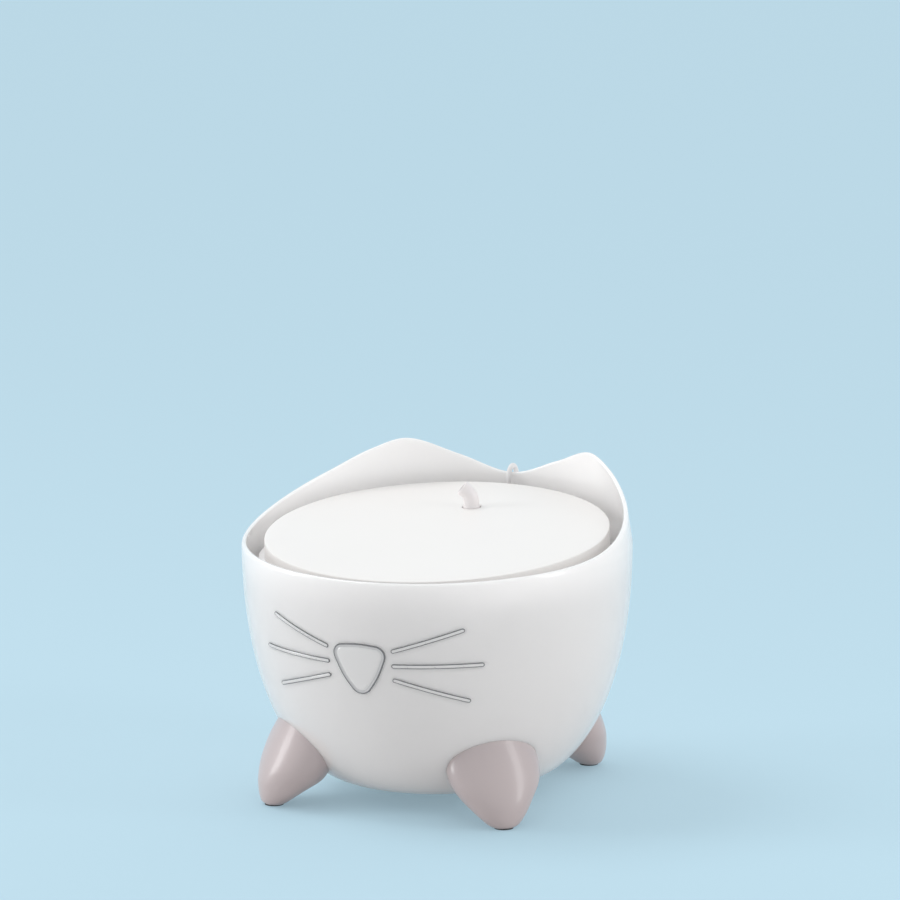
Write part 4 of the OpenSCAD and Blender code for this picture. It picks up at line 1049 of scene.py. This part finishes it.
def lidColumn(psi):
    d = lid
    middle, tilt = d["low"] + (d["front"] + d["rear"]) / 2, (d["rear"] - d["front"]) / (2 * d["radius"])
    plane = lambda y: middle + tilt * y
    s, c = sin(radians(psi)), -cos(radians(psi))
    past = min(psi, 360 - psi) - d["notch"]
    low = d["low"] + d["notchUp"] * max(0, min(1, 0.5 - past / 0.4))
    hx, hy = d["hole"] * s, stackY + d["hole"] * c
    r, inner, flat = d["radius"], d["radius"] - d["wall"], d["radius"] - d["edge"]
    column = []
    for t in np.linspace(0, 1, 9):
        x, y = hx + (inner * s - hx) * t, hy + (inner * c - hy) * t
        column.append((x, y, plane(y) - d["wall"]))
    column.append((inner * s, inner * c, min(plane(inner * c) - d["wall"] - 0.02, low + 0.4)))
    column += [(reach * s, reach * c, z) for reach, z in ((inner + 0.4, low), (r - 0.4, low), (r, low + 0.4))]
    column += [((r - e) * s, (r - e) * c, plane((r - e) * c) - drop) for e, drop in reversed(lip(d["edge"]))]
    for t in np.linspace(0, 1, 13)[1:]:
        x, y = flat * s + (hx + 0.5 * s - flat * s) * t, flat * c + (hy + 0.5 * c - flat * c) * t
        column.append((x, y, plane(y)))
    return column + [(hx, hy, plane(hy) - 0.5)]


def buildLid():
    angles = [360 * k / 288 for k in range(288)]
    angles += [side * lid["notch"] + e for side in (-1, 1) for e in (-0.28, -0.14, 0, 0.14, 0.28)]
    columns = [lidColumn(psi) for psi in sorted(set(round(a % 360, 3) for a in angles))]
    skin = Skin()
    skin.loft(list(zip(*columns)), closed=True)
    skin.make("slopingLid", ["lidWhite"], "lid", ["lid"], sharp=34)


buildLid()
print("lid built")

# spout and riser tube
spout = {
    "low": 146.6, "high": 10.9, "lowD": 8.7, "topD": 9.8, "pipeD": 9, "bore": 5.6,
    "rise": 1.6, "bendR": 9.5, "bend": 52, "end": 2.5, "turn": -66,
}


def buildSpout():
    s = spout
    skin = Skin()
    lowR, topR, bore, top = s["lowD"] / 2, s["topD"] / 2, s["bore"] / 2 - 0.1, s["high"]
    profile = [(bore, top), (bore, 0.3), (bore + 0.3, 0), (lowR - 0.3, 0), (lowR, 0.3)]
    profile += [(topR - 0.02, top - 0.7), (topR - 0.1, top - 0.25), (topR - 0.35, top)]
    profile.append((s["pipeD"] / 2 - 0.2, top))
    skin.loft(lathe(profile), closed=True)
    path = [(0, 0, top - 0.4), (0, 0, top + 0.8), (0, 0, top + 2.2)]
    bend = radians(s["bend"])
    for a in np.linspace(0, bend, 23):
        path.append((0, -s["bendR"] * (1 - cos(a)), top + s["rise"] + s["bendR"] * sin(a)))
    last, ahead = Vector(path[-1]), Vector((0, -sin(bend), cos(bend)))
    path += [tuple(last + ahead * t) for t in (0.9, s["end"] - 0.5, s["end"])]
    r = s["pipeD"] / 2
    outer = sweep(path, [r] * (len(path) - 1) + [r - 0.45], 48)
    inner = sweep(path, [s["bore"] / 2] * (len(path) - 1) + [s["bore"] / 2 + 0.4], 48)
    skin.loft(outer + inner[::-1], closed=True)
    skin.move(stand(0, stackY, s["low"], s["turn"]))
    skin.make("bentSpout", ["spoutWhite"], "spout", ["spout"], sharp=45)


riser = {
    "low": 60.1, "long": 41, "acrossCorners": 16.2, "corner": 0.8, "bore": 7.6, "grip": 5, "gripD": 9.2,
    "turn": 38,
}


def buildRiser():
    t = riser
    corner = t["corner"]
    reach = t["acrossCorners"] / 2 - corner / cos(radians(30))
    loop = []
    for k in range(6):
        at = radians(t["turn"] + 60 * k)
        x, y = reach * cos(at), stackY + reach * sin(at)
        for a in (at + radians(-30 + 15 * j) for j in range(5)):
            loop.append((x + corner * cos(a), y + corner * sin(a)))
    turns = [atan2(y - stackY, x) for x, y in loop]
    bore, grip = [[(d / 2 * cos(a), stackY + d / 2 * sin(a)) for a in turns]
                  for d in (t["bore"], t["gripD"])]
    low, top, step = t["low"], t["low"] + t["long"], t["low"] + t["grip"]
    found = [(offset(loop, 0.3), low), (loop, low + 0.3), (loop, top - 0.3), (offset(loop, 0.3), top)]
    found += [(offset(bore, -0.3), top), (bore, top - 0.3), (bore, step)]
    found += [(grip, step), (grip, low + 0.3), (offset(grip, -0.3), low)]
    skin = Skin()
    skin.loft(rows(found), closed=True)
    skin.make("riserTube", ["tubeClear"], "tube", ["riser_tube"], sharp=20)


buildSpout()
buildRiser()
print("spout and riser built")

# cord and plug
cord = {
    "diameter": 3, "coilMiddle": (-47, 144), "coilRadius": 18, "loops": 9, "pitch": 3.55, "from": 90,
    "perTurn": 36,
    "route": [
        (-37.2, 31.89, 41.3), (-39.99, 29.1, 41.3), (-44.5, 22.8, 41.8), (-50.5, 21.8, 41),
        (-55.5, 24.8, 39.3), (-57.5, 31.8, 36.5), (-56, 40.5, 33), (-51, 48.5, 29.5), (-43.5, 56, 27),
        (-33, 63.5, 26), (-22.5, 70.5, 27), (-13.5, 76.5, 30.5), (-6.5, 82.5, 36), (-2, 87.5, 44),
        (0, 90, 54), (0, 92, 70), (0, 92, 88), (0, 92, 102), (0, 94, 111), (0, 98, 119), (0, 102, 127),
        (0, 104.4, 136), (0, 104.4, 150), (0, 104.4, 161), (0, 106, 167.2), (0, 110.45, 169.5),
        (0, 114.8, 167.2), (0, 116.5, 161), (0, 116.5, 140), (0, 116.5, 110), (0, 116.5, 80), (0, 116.5, 50),
        (0, 116.5, 28), (-0.5, 117.5, 14), (-2, 121, 5), (-5, 129, 2), (-9, 138, 1.5), (-13, 148, 1.5),
        (-18, 158, 1.5), (-25, 165.5, 1.5), (-34, 169.6, 1.5)],
    "tail": [(-53, 170.1, 5), (-59, 170.4, 4.5), (-65, 170.5, 4.05), (-70, 170.5, 3.9)],
    "bendFrom": (0, 58, 40), "bendTo": (0, 91, 40),  # ends of a stretch of the cord, handed to make, which only bakes the cord in place
    "plugSize": (15.5, 24, 7.6), "plugCorner": 2.2, "shellSize": (12, 18, 4.5), "tongueHigh": 1.9,
}


def smoothThrough(points, steps):
    a = [np.array(p, float) for p in points]
    found = []
    for i in range(len(a) - 1):
        p, q, r, s = a[max(0, i - 1)], a[i], a[i + 1], a[min(len(a) - 1, i + 2)]
        for k in range(steps):
            t = k / steps
            bent = (2 * p - 5 * q + 4 * r - s) * t ** 2 + (3 * q - p - 3 * r + s) * t ** 3
            found.append(0.5 * (2 * q + (r - p) * t + bent))
    return found + [a[-1]]


def coilPoints():
    c = cord
    half = c["loops"] / 2
    x, y = c["coilMiddle"]
    points = []
    for i in range(int(c["loops"] * c["perTurn"]) + 1):
        t = i / c["perTurn"]
        a = radians(c["from"] + 360 * t)
        r = c["coilRadius"] + c["pitch"] * (abs(t - half) - half / 2)
        climb = min(1, max(0, t - half + 0.25) * 2)
        points.append((x + r * cos(a), y + r * sin(a), c["diameter"] / 2 + c["pitch"] * climb))
    return points


def buildPlug():
    c = cord
    x, y, z = c["tail"][-1]
    wide, long, high = c["plugSize"]
    outline = roundedRectangle(wide, high, c["plugCorner"], 8)
    section = lambda back, inset: [(x - back, y + u, high / 2 + v) for u, v in offset(outline, inset)]
    skin = Skin()
    stations = [(0, 2.2), (0.4, 1.0), (1.4, 0.3), (3, 0), (long - 0.8, 0), (long - 0.25, 0.25), (long, 0.8)]
    skin.solid([section(*station) for station in stations])
    for k in range(3):  # grip ribs
        ribs = ((0, 0.3), (0.2, -0.12), (0.9, -0.12), (1.1, 0.3))
        skin.loft([section(3.5 + 2 * k + back, inset) for back, inset in ribs], closed=True)
    body = skin.make("plugBody", ["plugWhite"], "bowl", ["plug_body"])

    tip = Skin()
    start = x - long - 0.05
    wide, long, high = c["shellSize"]
    shell = roundedRectangle(wide, high, 0.5, 5)
    at = lambda out, loop, inset: [(start - out, y + u, z + v) for u, v in offset(loop, inset)]
    stations = [(0, 0), (long - 0.2, 0), (long, 0.15), (long - 0.1, 0.35), (1.2, 0.35)]
    tip.solid([at(out, shell, inset) for out, inset in stations])
    tongue = roundedRectangle(wide - 0.9, c["tongueHigh"], 0.2, 3, 0, -c["tongueHigh"] / 2)
    tip.solid([at(out, tongue, inset) for out, inset in ((1.0, 0), (long - 1.2, 0), (long - 1.0, 0.1))], 1)
    return [body, tip.make("plugShell", ["plugSteel", "plugWhite"], "bowl", ["plug_shell"])]


def buildCord():
    c = cord
    coil = coilPoints()
    path = smoothThrough(c["route"] + [coil[0]], 4)[:-1] + [np.array(p) for p in coil]
    path += smoothThrough([coil[-1]] + c["tail"], 4)[1:]
    skin = Skin()
    skin.solid(sweep([tuple(p) for p in path], c["diameter"] / 2, 14))
    blend = ("pump", "bowl", *[tuple(v * mm for v in c[end]) for end in ("bendFrom", "bendTo")])
    stands = ["cord_run", "cord_coil", "cord_tail"]
    piece = skin.make("powerCord", ["cordWhite"], "bowl", stands, sharp=80, blend=blend)
    buildPlug() + [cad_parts["coil_tie"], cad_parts["cord_gland"]]


buildCord()
print("cord built")

# pieces of the frame that keep their own shape
kept = {
    "padRubber": ["foot_pads"],
    "screwSteel": ["foot_screws", "impeller_shaft"],
    "pumpWhite": ["pump_end_panel", "inlet_cover", "impeller", "shaft_bushes", "cord_gland"],
    "magnetGrey": ["rotor_magnet"],
    "coreSteel": ["stator_core"],
    "coilCopper": ["stator_coils"],
    "redLens": ["led_lens"],
    "clearLens": ["sensor_lens"],
    "cupRubber": ["suction_cups"],
    "granules": ["filter_carbon", "filter_resin"],
    "plugWhite": ["coil_tie"],
}
for look, nodes in kept.items():
    for node in nodes:
        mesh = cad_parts[node].data
        mesh.materials.clear()
        mesh.materials.append(finishes[look])
        mesh.shade_smooth()
        mesh.set_sharp_from_angle(angle=radians(35))
print("finishes set")
